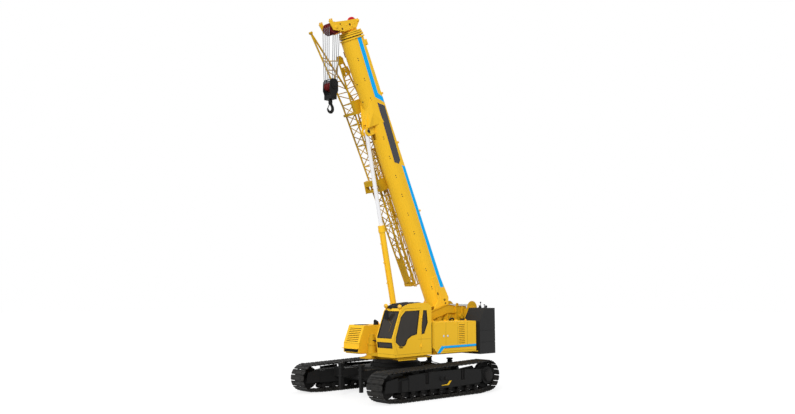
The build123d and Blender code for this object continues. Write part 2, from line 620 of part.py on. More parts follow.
def make_jib_main():
    bars = []
    for tip, neck, root in JIB_CHORDS.values():
        bars += [bar(tip, neck, CHORD_R, 8), bar(between(neck, tip, 0.002), root, CHORD_R + 1, 8)]
    for bay in range(JIB_BAYS + 1):
        part = bay / JIB_BAYS
        for a, b in JIB_FACES:
            bars.append(bar(jib_corner(part, a), jib_corner(part, b), BRACE_R + 3))
            if bay < JIB_BAYS:
                low, middle, high = (part + step / JIB_BAYS for step in (0.05, 0.50, 0.95))
                bars += [bar(jib_corner(low, a), jib_corner(middle, b), BRACE_R),
                         bar(jib_corner(high, a), jib_corner(middle + 0.004, b), BRACE_R - 1)]
    low_tip, rear = JIB_CHORDS["far_low"][0], JIB_CHORDS["far_low"][0][0] - 90
    tip = [box((rear, rear + 95), (-1025, -660), (180, 262)), box((rear, rear + 95), (-1025, -660), (330, 412)),
           box((rear, rear + 120), (-1025, -945), (181, 411)), box((rear, rear + 120), (-740, -660), (181, 411)),
           box(TIP_PANEL, (-990, -690), (low_tip[2] - 30, low_tip[2] - 12))]
    root = []
    for a, b in (JIB_FACES[0], JIB_FACES[2]):
        (near_a, far_a), (near_b, far_b) = JIB_CHORDS[a][1:], JIB_CHORDS[b][1:]
        for i, t in enumerate(ROOT_TIES):
            root += [bar(between(near_a, far_a, t), between(near_b, far_b, t), BRACE_R + 3),
                     bar(between(near_a, far_a, t - 0.13), between(near_b, far_b, t - 0.02), BRACE_R)]
    lug, top, near = JIB_CHORDS["far_low"][2], JIB_CHORDS["far_high"][2], JIB_CHORDS["near_low"][2]
    root += [bar(lug, top, CHORD_R, 8)]
    for chord, t in (("far_low", 0.30), ("far_high", 0.45), ("far_low", 0.62)):
        root.append(bar(between(*JIB_CHORDS[chord][1:], t), between(near, JIB_CHORDS["near_low"][1], 0.06),
                        BRACE_R + 4))
    for gusset in GUSSETS:
        outline = [(HEAD_X + x, z) for x, z in gusset["outline"]]
        shape = plate(outline, gusset["y"])
        if gusset["hole"]:
            x = HEAD_X + (gusset["outline"][0][0] + gusset["outline"][1][0]) / 2
            for offset in (-85, 85):
                shape = shape - rod_y(x + offset, 215 + offset / 5, gusset["hole"], (-500, -400))
        root.append(shape)
    return fuse(bars + tip + root)


EXTENSION_Y = (-415, -495)
EXTENSION_X = (1250, 6450)
EXTENSION_Z = (200, 400)
EXTENSION_POSTS = 8


def make_jib_extension():
    """Second length of the jib, stowed between the first and the boom, drawn to a point at its upper end."""
    (start, end), (low, high) = EXTENSION_X, EXTENSION_Z
    bars = []
    for y in EXTENSION_Y:
        for z in EXTENSION_Z:
            bars += [bar((start, y, z), (end, y, z), 22),
                     bar((end - 10, y, z), (end + 340, y, (low + high) / 2 + (z - low - 100) * 0.2), 23)]
        bars.append(bar((end + 330, y, low + 70), (end + 330, y, high - 70), 24))
    pitch = (end - start - 80) / (EXTENSION_POSTS - 1)
    for i in range(EXTENSION_POSTS):
        x = start + 40 + i * pitch
        for y in EXTENSION_Y:
            bars.append(bar((x, y, low), (x, y, high), 14))
            if i < EXTENSION_POSTS - 1:
                bars.append(bar((x + 40, y, low), (x + pitch - 40, y, high), 13))
        for z in EXTENSION_Z:
            bars.append(bar((x, EXTENSION_Y[0], z), (x, EXTENSION_Y[1], z), 15))
    return fuse(bars)


CRADLES = [  # carriers on the boom's right side that the jib's low chords lie on
    dict(post=(5200, 5650), beams=((5200, 5300), (5450, 5640)), reach=-1110, keel=-70, end_plate=True),
    dict(post=(8200, 8700), beams=((8200, 8290),), reach=-1040, keel=-60, end_plate=False),
]
HANGER_X = (1600, 4500)     # short brackets that carry the jib's extension


def make_jib_mounts():
    base = fuse([boom_profile(SECTIONS[0], 0, SECTIONS[0]["rear"], SECTIONS[0]["front"]), make_saddle()])
    jib, out = make_jib_main(), []
    for cradle in CRADLES:
        keel, inner = cradle["keel"], (-385, -300)
        parts = [box(cradle["post"], inner, (keel, 450))]
        parts += [box(span, (cradle["reach"], inner[1] - 20), (keel, 95)) for span in cradle["beams"]]
        if cradle["end_plate"]:
            start, end = cradle["post"]
            outline = [(start, keel - 60), (end, keel + 10), (end, 130), (start, 90)]
            parts.append(plate(outline, (cradle["reach"] - 25, cradle["reach"] + 5)))
        out.append(fuse(parts) - base - jib)
    low, high = EXTENSION_Z
    for x in HANGER_X:
        out.append(box((x, x + 60), (EXTENSION_Y[0] + 10, -300), (high - 28, high + 28)) - base - make_jib_extension())
    return group([piece.solids().sort_by(SortBy.VOLUME)[-1] for piece in out])


# ---------------------------------------------------------------- hook block and falls
def boom_point(x, z):
    """World X and Z of a point given along the level boom."""
    a = math.radians(BOOM_ANGLE)
    return (FOOT[0] + x * math.cos(a) - z * math.sin(a), FOOT[1] + x * math.sin(a) + z * math.cos(a))


HEAD_PIN = boom_point(SHEAVES[0]["x"], SHEAVES[0]["z"])
BLOCK_X = HEAD_PIN[0]


BLOCK_PIN_Z = 10720       # pin of the block's sheaves, hanging plumb under the head's pin
BLOCK_SHEAVE_R = 165
BLOCK_SPACING = 90        # between neighbouring sheaves in the block
ROPE_R = 12


def make_falls():
    bars = []
    head = SHEAVES[0]
    for i, y in enumerate(head["y"]):
        low_y = (i - 1.5) * BLOCK_SPACING
        for sign in (-1, 1):
            bars.append(tube((BLOCK_X + sign * (BLOCK_SHEAVE_R + ROPE_R + 3), low_y, BLOCK_PIN_Z + 60),
                             (BLOCK_X + sign * (head["r"] + ROPE_R + 6), y + head["width"] / 2, HEAD_PIN[1] - 20),
                             ROPE_R))
    return group(bars)


def make_hook_block():
    x, z = BLOCK_X, BLOCK_PIN_Z
    outline = [(x - 90, z + 245), (x + 90, z + 245), (x + 175, z + 150), (x + 185, z - 170), (x + 120, z - 300),
               (x + 120, z - 480), (x - 120, z - 480), (x - 120, z - 300), (x - 185, z - 170), (x - 175, z + 150)]
    plates = [plate(outline, (y, y + 34)) for y in (-204, 170)]
    core = box((x - 115, x + 115), (-172, 172), (z - 475, z - 330)) - rod_z(x, 0, 46, (z - 480, z - 325))
    pin = rod_y(x, z, 45, (-225, 225))
    return fuse(plates + [core, pin])


def make_block_sheaves():
    x, z, half = BLOCK_X, BLOCK_PIN_Z, BLOCK_SPACING / 2 - 20
    return group([rod_y(x, z, BLOCK_SHEAVE_R, (y - half, y + half)) - rod_y(x, z, 46, (y - half - 1, y + half + 1))
                  for y in ((i - 1.5) * BLOCK_SPACING for i in range(4))])


def make_hook():
    """Single hook, drawn from the top of its bowl at x = z = 0."""
    x, z = BLOCK_X, BLOCK_PIN_Z - 640
    shank = rod_z(x, 0, 45, (z - 20, z + 390))
    nut = rod_z(x, 0, 68, (z + 330, z + 390))
    boss = rod_z(x, 0, 72, (z - 10, z + 150))
    outer = [(-48, 5), (-132, -50), (-150, -160), (-118, -272), (-18, -335), (86, -304), (142, -216), (150, -146),
             (94, -146), (78, -192), (22, -240), (-46, -216), (-64, -146), (-24, -82), (48, -42), (48, 5)]
    bowl = plate([(x + px, z + pz) for px, pz in outer], (-40, 40))
    return fuse([shank, nut, boss, bowl])


# ---------------------------------------------------------------- derrick cylinder
def make_ram():
    eye = boom_point(*EYE)
    foot = RAM_FOOT
    dx, dz = eye[0] - foot[0], eye[1] - foot[1]
    length = math.hypot(dx, dz)
    ux, uz = dx / length, dz / length

    def at(d):
        return (foot[0] + ux * d, 0, foot[1] + uz * d)

    gland = 4050
    barrel = fuse([tube(at(60), at(gland), 110), tube(at(gland - 200), at(gland), 125),
                   rod_y(foot[0], foot[1], 130, (-90, 90)), tube(at(300), at(360), 122)])
    barrel = barrel - tube(at(200), at(gland + 5), 78) - rod_y(foot[0], foot[1], 70.1, (-130, 130))
    rod = fuse([tube(at(1960), at(length - 40), 72), rod_y(eye[0], eye[1], 90, (-68, 68))])
    rod = rod - rod_y(eye[0], eye[1], 38, (-70, 70))
    return barrel, rod


# ---------------------------------------------------------------- write the pieces
def main():
    left = dict(track=make_track(), track_frame=make_track_frame(), track_rollers=make_rollers(),
                final_drive=make_final_drive())
    for name, shape in left.items():
        save(shape, name + "_left")
        save(mirror_y(shape), name + "_right")
    save(make_car_body(), "car_body")
    save(make_legs(), "jack_legs")
    save(make_slew_ring(), "slew_ring")
    save(make_turntable(), "turntable")
    save(make_slew_drive(), "slew_drive")
    save(make_engine_house(), "engine_house")
    save(box((-1650, 150), (-1380, -780), (1440, 2200)), "engine_block")
    save(make_side_house(), "side_house")
    save(make_counterweight(), "counterweight")
    save(make_cab_shell(), "cab_shell")
    save(make_cab_glass(), "cab_glass")
    save(make_seat(), "cab_seat")
    save(make_cab_door(), "cab_door")
    save(make_door_glass(), "door_glass")
    save(make_cab_lamps(), "cab_lamps")
    save(make_cab_mirror(), "cab_mirror")
    save(make_exhaust(), "exhaust_stack")
    for drum in DRUMS:
        save(make_drum(drum), drum["name"])
    save(raise_boom(make_boom_base()), "boom_base")
    for number, s in enumerate(SECTIONS[1:], start=2):
        if number < 5:
            solid = make_section(s, COLLARS[number - 1])
        else:
            solid = boom_profile(s, 0, s["rear"], s["front"]) - boom_profile(s, -s["wall"], s["rear"] - 1, s["front"] + 1)
        save(raise_boom(solid), f"boom_section_{number}")
    save(raise_boom(make_head()), "boom_head")
    for sh in SHEAVES:
        save(raise_boom(make_sheaves(sh)), sh["name"])
    save(raise_boom(make_jib_main()), "jib_main")
    save(raise_boom(make_jib_extension()), "jib_extension")
    save(raise_boom(make_jib_mounts()), "jib_mounts")
    barrel, rod = make_ram()
    save(barrel, "cylinder_barrel")
    save(rod, "cylinder_rod")
    save(make_falls(), "hoist_falls")
    save(make_hook_block(), "hook_block")
    save(make_block_sheaves(), "block_sheaves")
    save(make_hook(), "hook")


main()
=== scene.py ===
"""Crawler crane with a telescopic boom, dressed for the camera.

Metres. The boom points to +X, +Y is the crane's left (the cab side) and +Z is up.
The tracks stand on z = 0 and the crane slews about the line x = y = 0.
"""
import math

import bmesh
import bpy
from mathutils import Matrix, Vector


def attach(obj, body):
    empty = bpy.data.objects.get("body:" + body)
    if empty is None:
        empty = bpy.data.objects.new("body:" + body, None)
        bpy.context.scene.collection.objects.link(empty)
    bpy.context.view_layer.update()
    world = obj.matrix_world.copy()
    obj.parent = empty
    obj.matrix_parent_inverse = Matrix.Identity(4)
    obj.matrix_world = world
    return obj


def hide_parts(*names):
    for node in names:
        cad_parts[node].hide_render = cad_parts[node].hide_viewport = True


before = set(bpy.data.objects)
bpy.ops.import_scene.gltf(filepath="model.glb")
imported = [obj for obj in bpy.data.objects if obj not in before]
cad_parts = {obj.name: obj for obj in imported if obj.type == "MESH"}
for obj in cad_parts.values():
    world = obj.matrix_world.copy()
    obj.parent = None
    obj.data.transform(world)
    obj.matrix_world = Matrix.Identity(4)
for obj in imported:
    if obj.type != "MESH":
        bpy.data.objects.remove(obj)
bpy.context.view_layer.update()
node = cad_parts
scene = bpy.context.scene


# ------------------------------------------------------------------------------------------- studio
# A pale floor that keeps a soft shadow, a white surround, one large soft lamp from the front left
# and a weaker one from behind, so that painted plates show close to their own colour.
def linear(rrggbb):
    """Linear colour of a hex code, with alpha 1."""
    parts = [int(rrggbb[i:i + 2], 16) / 255 for i in (0, 2, 4)]
    return [p / 12.92 if p <= 0.04045 else ((p + 0.055) / 1.055) ** 2.4 for p in parts] + [1.0]


def fill(tree, target, values):
    """Fills sockets with a node's first output, with (node, output name), with a socket or plainly."""
    for where, value in values.items():
        if isinstance(value, bpy.types.Node):
            value = value.outputs[0]
        elif isinstance(value, tuple) and isinstance(value[0], bpy.types.Node):
            value = value[0].outputs[value[1]]
        if isinstance(value, bpy.types.NodeSocket):
            tree.links.new(value, target.inputs[where])
        else:
            target.inputs[where].default_value = value


def add_node(tree, kind, values=None, **settings):
    """New node with its settings made and its sockets filled, by name or number."""
    made = tree.nodes.new(kind)
    for key, value in settings.items():
        setattr(made, key, value)
    fill(tree, made, values or {})
    return made


def ray_is(tree, *kinds):
    """1 where a ray is of one of these kinds, else 0."""
    path = tree.nodes.new("ShaderNodeLightPath")
    found = (path, kinds[0])
    for kind in kinds[1:]:
        found = add_node(tree, "ShaderNodeMath", {0: found, 1: (path, kind)}, operation="MAXIMUM")
    return found


SURROUND_LIGHT = 0.64
world = bpy.data.worlds.new("white_surround")
scene.world = world
world.use_nodes = True
sky = world.node_tree
sky.nodes.clear()
level = add_node(sky, "ShaderNodeMapRange", {
    "Value": ray_is(sky, "Is Camera Ray", "Is Glossy Ray", "Is Transmission Ray"),
    "To Min": SURROUND_LIGHT, "To Max": 1.0})
background = add_node(sky, "ShaderNodeBackground", {"Color": (1.0, 1.0, 1.0, 1.0), "Strength": level})
add_node(sky, "ShaderNodeOutputWorld", {"Surface": background})

LAMPS = [  # towards the lamp, strength, spread in degrees
    dict(name="key_lamp", toward=(0.7, 0.5, 0.42), strength=2.12, spread=24),
    dict(name="fill_lamp", toward=(-0.75, -0.35, 0.55), strength=0.45, spread=60),
]
for lamp in LAMPS:
    light = bpy.data.lights.new(lamp["name"], "SUN")
    light.energy = lamp["strength"]
    light.angle = math.radians(lamp["spread"])
    holder = bpy.data.objects.new(lamp["name"], light)
    holder.rotation_euler = Vector(lamp["toward"]).to_track_quat("Z", "Y").to_euler()
    scene.collection.objects.link(holder)

FLOOR_HALF = 120.0
FLOOR_TOP = -0.002
FLOOR_SHADOW = 0.3       # how much of the floor's look comes from the light that falls on it
FLOOR_BRIGHT = 1.06       # that light and the floor's own glow together, where nothing shades it
floor_mesh = bpy.data.meshes.new("floor")
floor_corners = [(x * FLOOR_HALF, y * FLOOR_HALF, FLOOR_TOP) for x, y in ((-1, -1), (1, -1), (1, 1), (-1, 1))]
floor_mesh.from_pydata(floor_corners, [], [(0, 1, 2, 3)])
floor = bpy.data.objects.new("floor", floor_mesh)
scene.collection.objects.link(floor)
floor_paint = bpy.data.materials.new("floor_paper")
floor_paint.use_nodes = True
tree = floor_paint.node_tree
tree.nodes.clear()
lit = add_node(tree, "ShaderNodeBsdfDiffuse", {"Color": (FLOOR_SHADOW, FLOOR_SHADOW, FLOOR_SHADOW, 1.0)})
glow_level = add_node(tree, "ShaderNodeMath", {
    0: ray_is(tree, "Is Camera Ray", "Is Glossy Ray"), 1: FLOOR_BRIGHT - FLOOR_SHADOW}, operation="MULTIPLY")
glow = add_node(tree, "ShaderNodeEmission", {"Strength": glow_level})
both = add_node(tree, "ShaderNodeAddShader", {0: lit, 1: glow})
add_node(tree, "ShaderNodeOutputMaterial", {"Surface": both})
floor_mesh.materials.append(floor_paint)

scene.view_settings.view_transform = "Standard"

CAMERA_PLACE = Vector((20.263, 21.763, 3.597))
CAMERA_TURN = 0.752        # radians round Z from looking along -Y
CAMERA_LIFT = 0.128        # radians above the horizon
camera = bpy.data.cameras.new("camera")
camera.sensor_fit = "HORIZONTAL"
camera.sensor_width = 36.0
camera.lens = 36.52
camera.shift_y = -0.0248
camera.clip_end = 400.0
camera_holder = bpy.data.objects.new("camera", camera)
forward = Vector((-math.sin(CAMERA_TURN), -math.cos(CAMERA_TURN), math.tan(CAMERA_LIFT)))
camera_turn = forward.to_track_quat("-Z", "Y").to_matrix().to_4x4()
camera_holder.matrix_world = Matrix.Translation(CAMERA_PLACE) @ camera_turn
scene.collection.objects.link(camera_holder)
scene.camera = camera_holder


# ---------------------------------------------------------------------------------- tracks and paint
# Two endless chains of flat steel shoes, 760 mm wide, bolted to forged links that turn on pins.
# Dry mud lies in them.
def new_group(name, inputs, outputs):
    """Shader node group with named sockets; returns the group and its two end nodes."""
    group = bpy.data.node_groups.new(name, "ShaderNodeTree")
    for label, kind, value in inputs:
        socket = group.interface.new_socket(label, in_out="INPUT", socket_type="NodeSocket" + kind)
        if value is not None:
            socket.default_value = value
    for label, kind in outputs:
        group.interface.new_socket(label, in_out="OUTPUT", socket_type="NodeSocket" + kind)
    return group, group.nodes.new("NodeGroupInput"), group.nodes.new("NodeGroupOutput")


def mixed(tree, factor, first, second):
    """Colour output of a mix of two colours."""
    return add_node(tree, "ShaderNodeMix", {0: factor, 6: first, 7: second}, data_type="RGBA").outputs[2]


# Cloudy variation of a colour and of its gloss, as in sprayed or rolled surfaces.
mottle, start, end = new_group(
    "mottle",
    [("Vector", "Vector", None), ("Colour", "Color", (0.8, 0.8, 0.8, 1)),
     ("Shade", "Color", (0.5, 0.5, 0.5, 1)), ("Patch Size", "Float", 0.8), ("Grain Size", "Float", 0.02),
     ("Strength", "Float", 0.3), ("Roughness", "Float", 0.4), ("Roughness Spread", "Float", 0.15)],
    [("Colour", "Color"), ("Roughness", "Float"), ("Height", "Float")])
patch_scale, grain_scale = [add_node(mottle, "ShaderNodeMath", {0: 1.0, 1: (start, size)}, operation="DIVIDE")
                            for size in ("Patch Size", "Grain Size")]
patches = add_node(mottle, "ShaderNodeTexNoise", {
    "Vector": (start, "Vector"), "Scale": patch_scale, "Detail": 5.0, "Roughness": 0.6})
grain = add_node(mottle, "ShaderNodeTexNoise", {
    "Vector": (start, "Vector"), "Scale": grain_scale, "Detail": 2.0})
spread = add_node(mottle, "ShaderNodeMapRange", {"Value": patches, "From Min": 0.35, "From Max": 0.7})
share = add_node(mottle, "ShaderNodeMath", {0: spread, 1: (start, "Strength")}, operation="MULTIPLY")
gloss = add_node(mottle, "ShaderNodeMath", {
    0: grain, 1: (start, "Roughness Spread"), 2: (start, "Roughness")}, operation="MULTIPLY_ADD")
fill(mottle, end, {"Colour": mixed(mottle, share, (start, "Colour"), (start, "Shade")),
                   "Roughness": gloss, "Height": grain})

# Dust and dried mud, thickest near the ground and thinning upward between two heights.
dust, start, end = new_group(
    "dust",
    [("Vector", "Vector", None), ("Colour", "Color", (0.8, 0.8, 0.8, 1)), ("Roughness", "Float", 0.4),
     ("Dust Colour", "Color", (0.25, 0.2, 0.15, 1)), ("Low", "Float", 0.0), ("High", "Float", 1.5),
     ("Amount", "Float", 0.4)],
    [("Colour", "Color"), ("Roughness", "Float"), ("Mask", "Float")])
height = add_node(dust, "ShaderNodeSeparateXYZ", {"Vector": (start, "Vector")})
fade = add_node(dust, "ShaderNodeMapRange", {
    "Value": (height, "Z"), "From Min": (start, "High"), "From Max": (start, "Low")})
blots = add_node(dust, "ShaderNodeTexNoise", {
    "Vector": (start, "Vector"), "Scale": 3.1, "Detail": 8.0, "Roughness": 0.68})
cut = add_node(dust, "ShaderNodeMapRange", {"Value": blots, "From Min": 0.38, "From Max": 0.66})
both = add_node(dust, "ShaderNodeMath", {0: fade, 1: cut}, operation="MULTIPLY")
mask = add_node(dust, "ShaderNodeMath", {0: both, 1: (start, "Amount")}, operation="MULTIPLY")
dry = add_node(dust, "ShaderNodeMath", {0: mask, 1: 0.4, 2: (start, "Roughness")}, operation="MULTIPLY_ADD")
fill(dust, end, {"Colour": mixed(dust, mask, (start, "Colour"), (start, "Dust Colour")),
                 "Roughness": dry, "Mask": mask})


def new_paint(name):
    """New material, its tree, its shader, and the source of a point's place on its object."""
    made = bpy.data.materials.new(name)
    made.use_nodes = True
    tree = made.node_tree
    return made, tree, tree.nodes["Principled BSDF"], (tree.nodes.new("ShaderNodeTexCoord"), "Object")


def enamel(name, colour, shade, roughness=0.35, metal=0.0, gloss=0.2, bump=0.04, patch=0.8, grain_size=0.02,
           strength=0.3, dusty=0.3, dust_top=1.6, dust_colour="6b5f4e"):
    """Painted or bare metal: mottled colour, dust near the ground and a fine grain."""
    made, tree, shader, place = new_paint(name)
    clouds = add_node(tree, "ShaderNodeGroup", {
        "Vector": place, "Colour": linear(colour), "Shade": linear(shade), "Patch Size": patch,
        "Grain Size": grain_size, "Strength": strength, "Roughness": roughness}, node_tree=mottle)
    film = add_node(tree, "ShaderNodeGroup", {
        "Vector": place, "Colour": (clouds, "Colour"), "Roughness": (clouds, "Roughness"),
        "Dust Colour": linear(dust_colour), "High": dust_top, "Amount": dusty}, node_tree=dust)
    relief = add_node(tree, "ShaderNodeBump", {
        "Height": (clouds, "Height"), "Strength": bump, "Distance": 0.01})
    fill(tree, shader, {"Base Color": (film, "Colour"), "Roughness": (film, "Roughness"), "Normal": relief,
                        "Metallic": metal, "Specular IOR Level": gloss})
    return made


def finish(material, *names):
    """Gives CAD nodes their finish."""
    for name in names:
        mesh = node[name].data
        mesh.materials.clear()
        mesh.materials.append(material)


def smooth(mesh, below):
    """Smooths faces that meet at less than an angle in degrees."""
    mesh.shade_smooth()
    mesh.set_sharp_from_angle(angle=math.radians(below))


def mesh_from(name, draw, smooth_below=None):
    """Mesh from a function that fills a bmesh."""
    bm = bmesh.new()
    draw(bm)
    bmesh.ops.recalc_face_normals(bm, faces=bm.faces)
    mesh = bpy.data.meshes.new(name)
    bm.to_mesh(mesh)
    bm.free()
    if smooth_below is not None:
        smooth(mesh, smooth_below)
    return mesh


def add_piece(mesh, material, body, replaces=(), place=None):
    """Links a finished mesh under its own name, riding on a body, in the place it is drawn."""
    if place is not None:
        mesh.transform(place)
    mesh.materials.clear()
    mesh.materials.append(material)
    obj = bpy.data.objects.new(mesh.name, mesh)
    scene.collection.objects.link(obj)
    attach(obj, body)
    if replaces:
        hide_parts(*replaces)
    return obj


def drawn(name, draw, material, body, smooth_below=None, replaces=(), place=None):
    """Piece made by a drawing function."""
    return add_piece(mesh_from(name, draw, smooth_below), material, body, replaces, place)


def turns(count, start=0.0):
    """Equal angles round a circle."""
    return [start + 2 * math.pi * i / count for i in range(count)]


def skin(bm, rings, closed=False):
    """Faces between successive rings of points; the rings close up, or else both ends are capped."""
    rings = [[bm.verts.new(point) for point in ring] for ring in rings]
    faces = []
    for a, b in zip(rings, rings[1:] + (rings[:1] if closed else [])):
        for i in range(len(a)):
            j = (i + 1) % len(a)
            faces.append(bm.faces.new((a[i], a[j], b[j], b[i])))
    if not closed:
        faces += [bm.faces.new(rings[0][::-1]), bm.faces.new(rings[-1])]
    return faces


def break_edges(bm, edges, bevel):
    if bevel:
        bmesh.ops.bevel(bm, geom=list(edges), offset=bevel, segments=1, affect="EDGES")


def block(bm, low, high, bevel=0.0):
    """Box between two opposite corners, with broken edges."""
    low, high = zip(*(sorted(pair) for pair in zip(low, high)))
    made = bmesh.ops.create_cube(bm, size=1.0)["verts"]
    for v in made:
        v.co = Vector(low[i] + (v.co[i] + 0.5) * (high[i] - low[i]) for i in range(3))
    break_edges(bm, {e for v in made for e in v.link_edges}, bevel)


def prism(bm, outline, low, high, axis="Y", bevel=0.0):
    """Plate with a drawn outline: (x, z) pairs along Y, (y, z) along X, (x, y) along Z."""
    def corner(a, b, level):
        return {"Y": (a, level, b), "X": (level, a, b), "Z": (a, b, level)}[axis]
    faces = skin(bm, [[corner(a, b, level) for a, b in outline] for level in sorted((low, high))])
    bmesh.ops.recalc_face_normals(bm, faces=faces)
    break_edges(bm, {e for f in faces for e in f.edges}, bevel)


def turned(bm, profile, centre, axis="Y", steps=32):
    """Solid of revolution from (radius, along) pairs, about a line through centre."""
    along = Vector({"X": (1, 0, 0), "Y": (0, 1, 0), "Z": (0, 0, 1)}.get(axis, axis)).normalized()
    side = along.orthogonal().normalized()
    other = along.cross(side)
    outward = [side * math.cos(t) + other * math.sin(t) for t in turns(steps)]
    skin(bm, [[Vector(centre) + along * run + out * radius for out in outward] for radius, run in profile])


def cut_rectangle(low, high, cut):
    """Outline of a rectangle between two corners, with all four corners cut off."""
    (x0, y0), (x1, y1), (a, b) = low, high, cut
    return [(x0, y0 + b), (x0 + a, y0), (x1 - a, y0), (x1, y0 + b),
            (x1, y1 - b), (x1 - a, y1), (x0 + a, y1), (x0, y1 - b)]


def rod(bm, centre, radius, low, high, axis="Y", steps=12):
    """Round bar along a line through centre, from one distance to another."""
    turned(bm, [(radius, low), (radius, high)], centre, axis=axis, steps=steps)


def repeat_tree(name, inputs, spots):
    """Geometry Nodes tree that sets copies of a pattern on spots and makes them real. The function
    `spots` adds its own nodes and returns what goes into the sockets of the node that sets them."""
    tree = bpy.data.node_groups.new(name, "GeometryNodeTree")
    for label, kind in [("Geometry", "Geometry"), ("Pattern", "Object"), ("Material", "Material")] + inputs:
        tree.interface.new_socket(label, in_out="INPUT", socket_type="NodeSocket" + kind)
    tree.interface.new_socket("Geometry", in_out="OUTPUT", socket_type="NodeSocketGeometry")
    given, out = tree.nodes.new("NodeGroupInput"), tree.nodes.new("NodeGroupOutput")
    pattern = add_node(tree, "GeometryNodeObjectInfo", {"Object": (given, "Pattern")})
    copies = add_node(tree, "GeometryNodeInstanceOnPoints", {"Instance": (pattern, "Geometry")})
    fill(tree, copies, spots(tree, given))
    real = add_node(tree, "GeometryNodeRealizeInstances", {0: copies})
    dressed = add_node(tree, "GeometryNodeSetMaterial", {"Geometry": real, "Material": (given, "Material")})
    fill(tree, out, {"Geometry": dressed})
    return tree


def repeated(name, tree, pattern, material, seeds=None, **values):
    """Runs a repeat tree on a pattern's mesh and returns the result as a plain mesh."""
    stamp = bpy.data.objects.new(name + "_pattern", pattern)
    holder = bpy.data.objects.new(name + "_maker", seeds or bpy.data.meshes.new(name + "_base"))
    scene.collection.objects.link(stamp)
    scene.collection.objects.link(holder)
    values.update(Pattern=stamp, Material=material)
    modifier = holder.modifiers.new("repeat", "NODES")
    modifier.node_group = tree
    for item in tree.interface.items_tree:
        if item.in_out == "INPUT" and item.name in values:
            modifier[item.identifier] = values[item.name]
    bpy.context.view_layer.update()
    evaluated = holder.evaluated_get(bpy.context.evaluated_depsgraph_get())
    mesh = bpy.data.meshes.new_from_object(evaluated)
    mesh.name = name
    holder.modifiers.remove(modifier)
    bpy.data.objects.remove(holder)
    bpy.data.objects.remove(stamp)
    return mesh


track_steel = enamel("shoe_steel", "232323", "191918", roughness=0.45, metal=0.15, gloss=0.25, bump=0.25,
                     patch=0.3, strength=0.6, dusty=0.45, dust_top=1.5, dust_colour="3d372f")

SHOE_PITCH = 0.204
SHOE_LENGTH, SHOE_THICK, SHOE_HALF = 0.19, 0.034, 0.38
BAR_DEPTH = 0.02                               # how far a shoe's bars stand above its plate
CHAIN_DEPTH = 0.095
SPROCKET = dict(x=-2.352, z=0.6, r=0.54)     # radius to the outside of the shoes
IDLER = dict(x=2.4, z=0.52, r=0.49)
GROUND_RUN = (-1.9, 1.95)
TRACK_Y = 2.065
SIDES = (("left", 1), ("right", -1))


def wrap(points):
    """Convex outline of 2-D points, counter-clockwise."""
    points = sorted(set(points))

    def half(run):
        out = []
        for p in run:
            while len(out) > 1 and ((out[-1][0] - out[-2][0]) * (p[1] - out[-2][1])
                                    - (out[-1][1] - out[-2][1]) * (p[0] - out[-2][0])) <= 0:
                out.pop()
            out.append(p)
        return out

    return half(points)[:-1] + half(points[::-1])[:-1]


chain_line = [(x, SHOE_THICK) for x in GROUND_RUN]
for wheel in (SPROCKET, IDLER):
    reach = wheel["r"] - SHOE_THICK
    chain_line += [(round(wheel["x"] + reach * math.cos(a), 4), round(wheel["z"] + reach * math.sin(a), 4))
                   for a in turns(20, math.radians(9))]
chain_line = wrap([p for p in chain_line if p[1] >= SHOE_THICK - 1e-4])
chain_length = sum(math.dist(a, b) for a, b in zip(chain_line, chain_line[1:] + chain_line[:1]))
SHOE_COUNT = round(chain_length / SHOE_PITCH)


def draw_shoe(bm):
    """One shoe and its two links: X along the chain, Z outward from the shoe's inner face."""
    half, face, bar = SHOE_LENGTH / 2, SHOE_THICK - BAR_DEPTH, SHOE_HALF - 0.03
    prism(bm, cut_rectangle((-half, -SHOE_HALF), (half, SHOE_HALF), (0.03, 0.035)), 0.0, face, axis="Z",
          bevel=0.004)
    for x in (-0.06, 0.06):
        block(bm, (x - 0.011, -bar, face - 0.002), (x + 0.011, bar, SHOE_THICK), 0.004)
    for sign in (-1, 1):
        for x0, x1, y in ((-0.125, 0.02, 0.105), (-0.02, 0.125, 0.14)):
            block(bm, (x0, sign * y - 0.017, -CHAIN_DEPTH + SHOE_THICK), (x1, sign * y + 0.017, 0.002), 0.006)
        for x in (-0.025, 0.025):
            rod(bm, (x, sign * 0.19, face - 0.001), 0.014, 0.0, 0.014, axis="Z", steps=6)
    rod(bm, (SHOE_PITCH / 2, 0.0, -0.045), 0.026, -0.17, 0.17, steps=10)


def along_chain(tree, given):
    """Evenly spaced spots on the seed line, each turned to follow it."""
    curve = add_node(tree, "GeometryNodeMeshToCurve", {0: (given, "Geometry")})
    spaced = add_node(tree, "GeometryNodeResampleCurve", {"Curve": curve, "Count": (given, "Count")})
    turn = add_node(tree, "FunctionNodeAlignRotationToVector", {
        "Vector": tree.nodes.new("GeometryNodeInputTangent")}, axis="X", pivot_axis="Y")
    return {"Points": spaced, "Rotation": turn}


chain_tree = repeat_tree("shoes_along_chain", [("Count", "Int")], along_chain)
shoe = mesh_from("shoe", draw_shoe)
for side, sign in SIDES:
    loop = bpy.data.meshes.new("chain_loop_" + side)
    corners = [(x, sign * TRACK_Y, z) for x, z in chain_line[::-1]]
    loop.from_pydata(corners, [(i, (i + 1) % len(corners)) for i in range(len(corners))], [])
    shoes = repeated("shoes_" + side, chain_tree, shoe, track_steel, loop, Count=SHOE_COUNT)
    add_piece(shoes, track_steel, "undercarriage", replaces=["track_" + side])


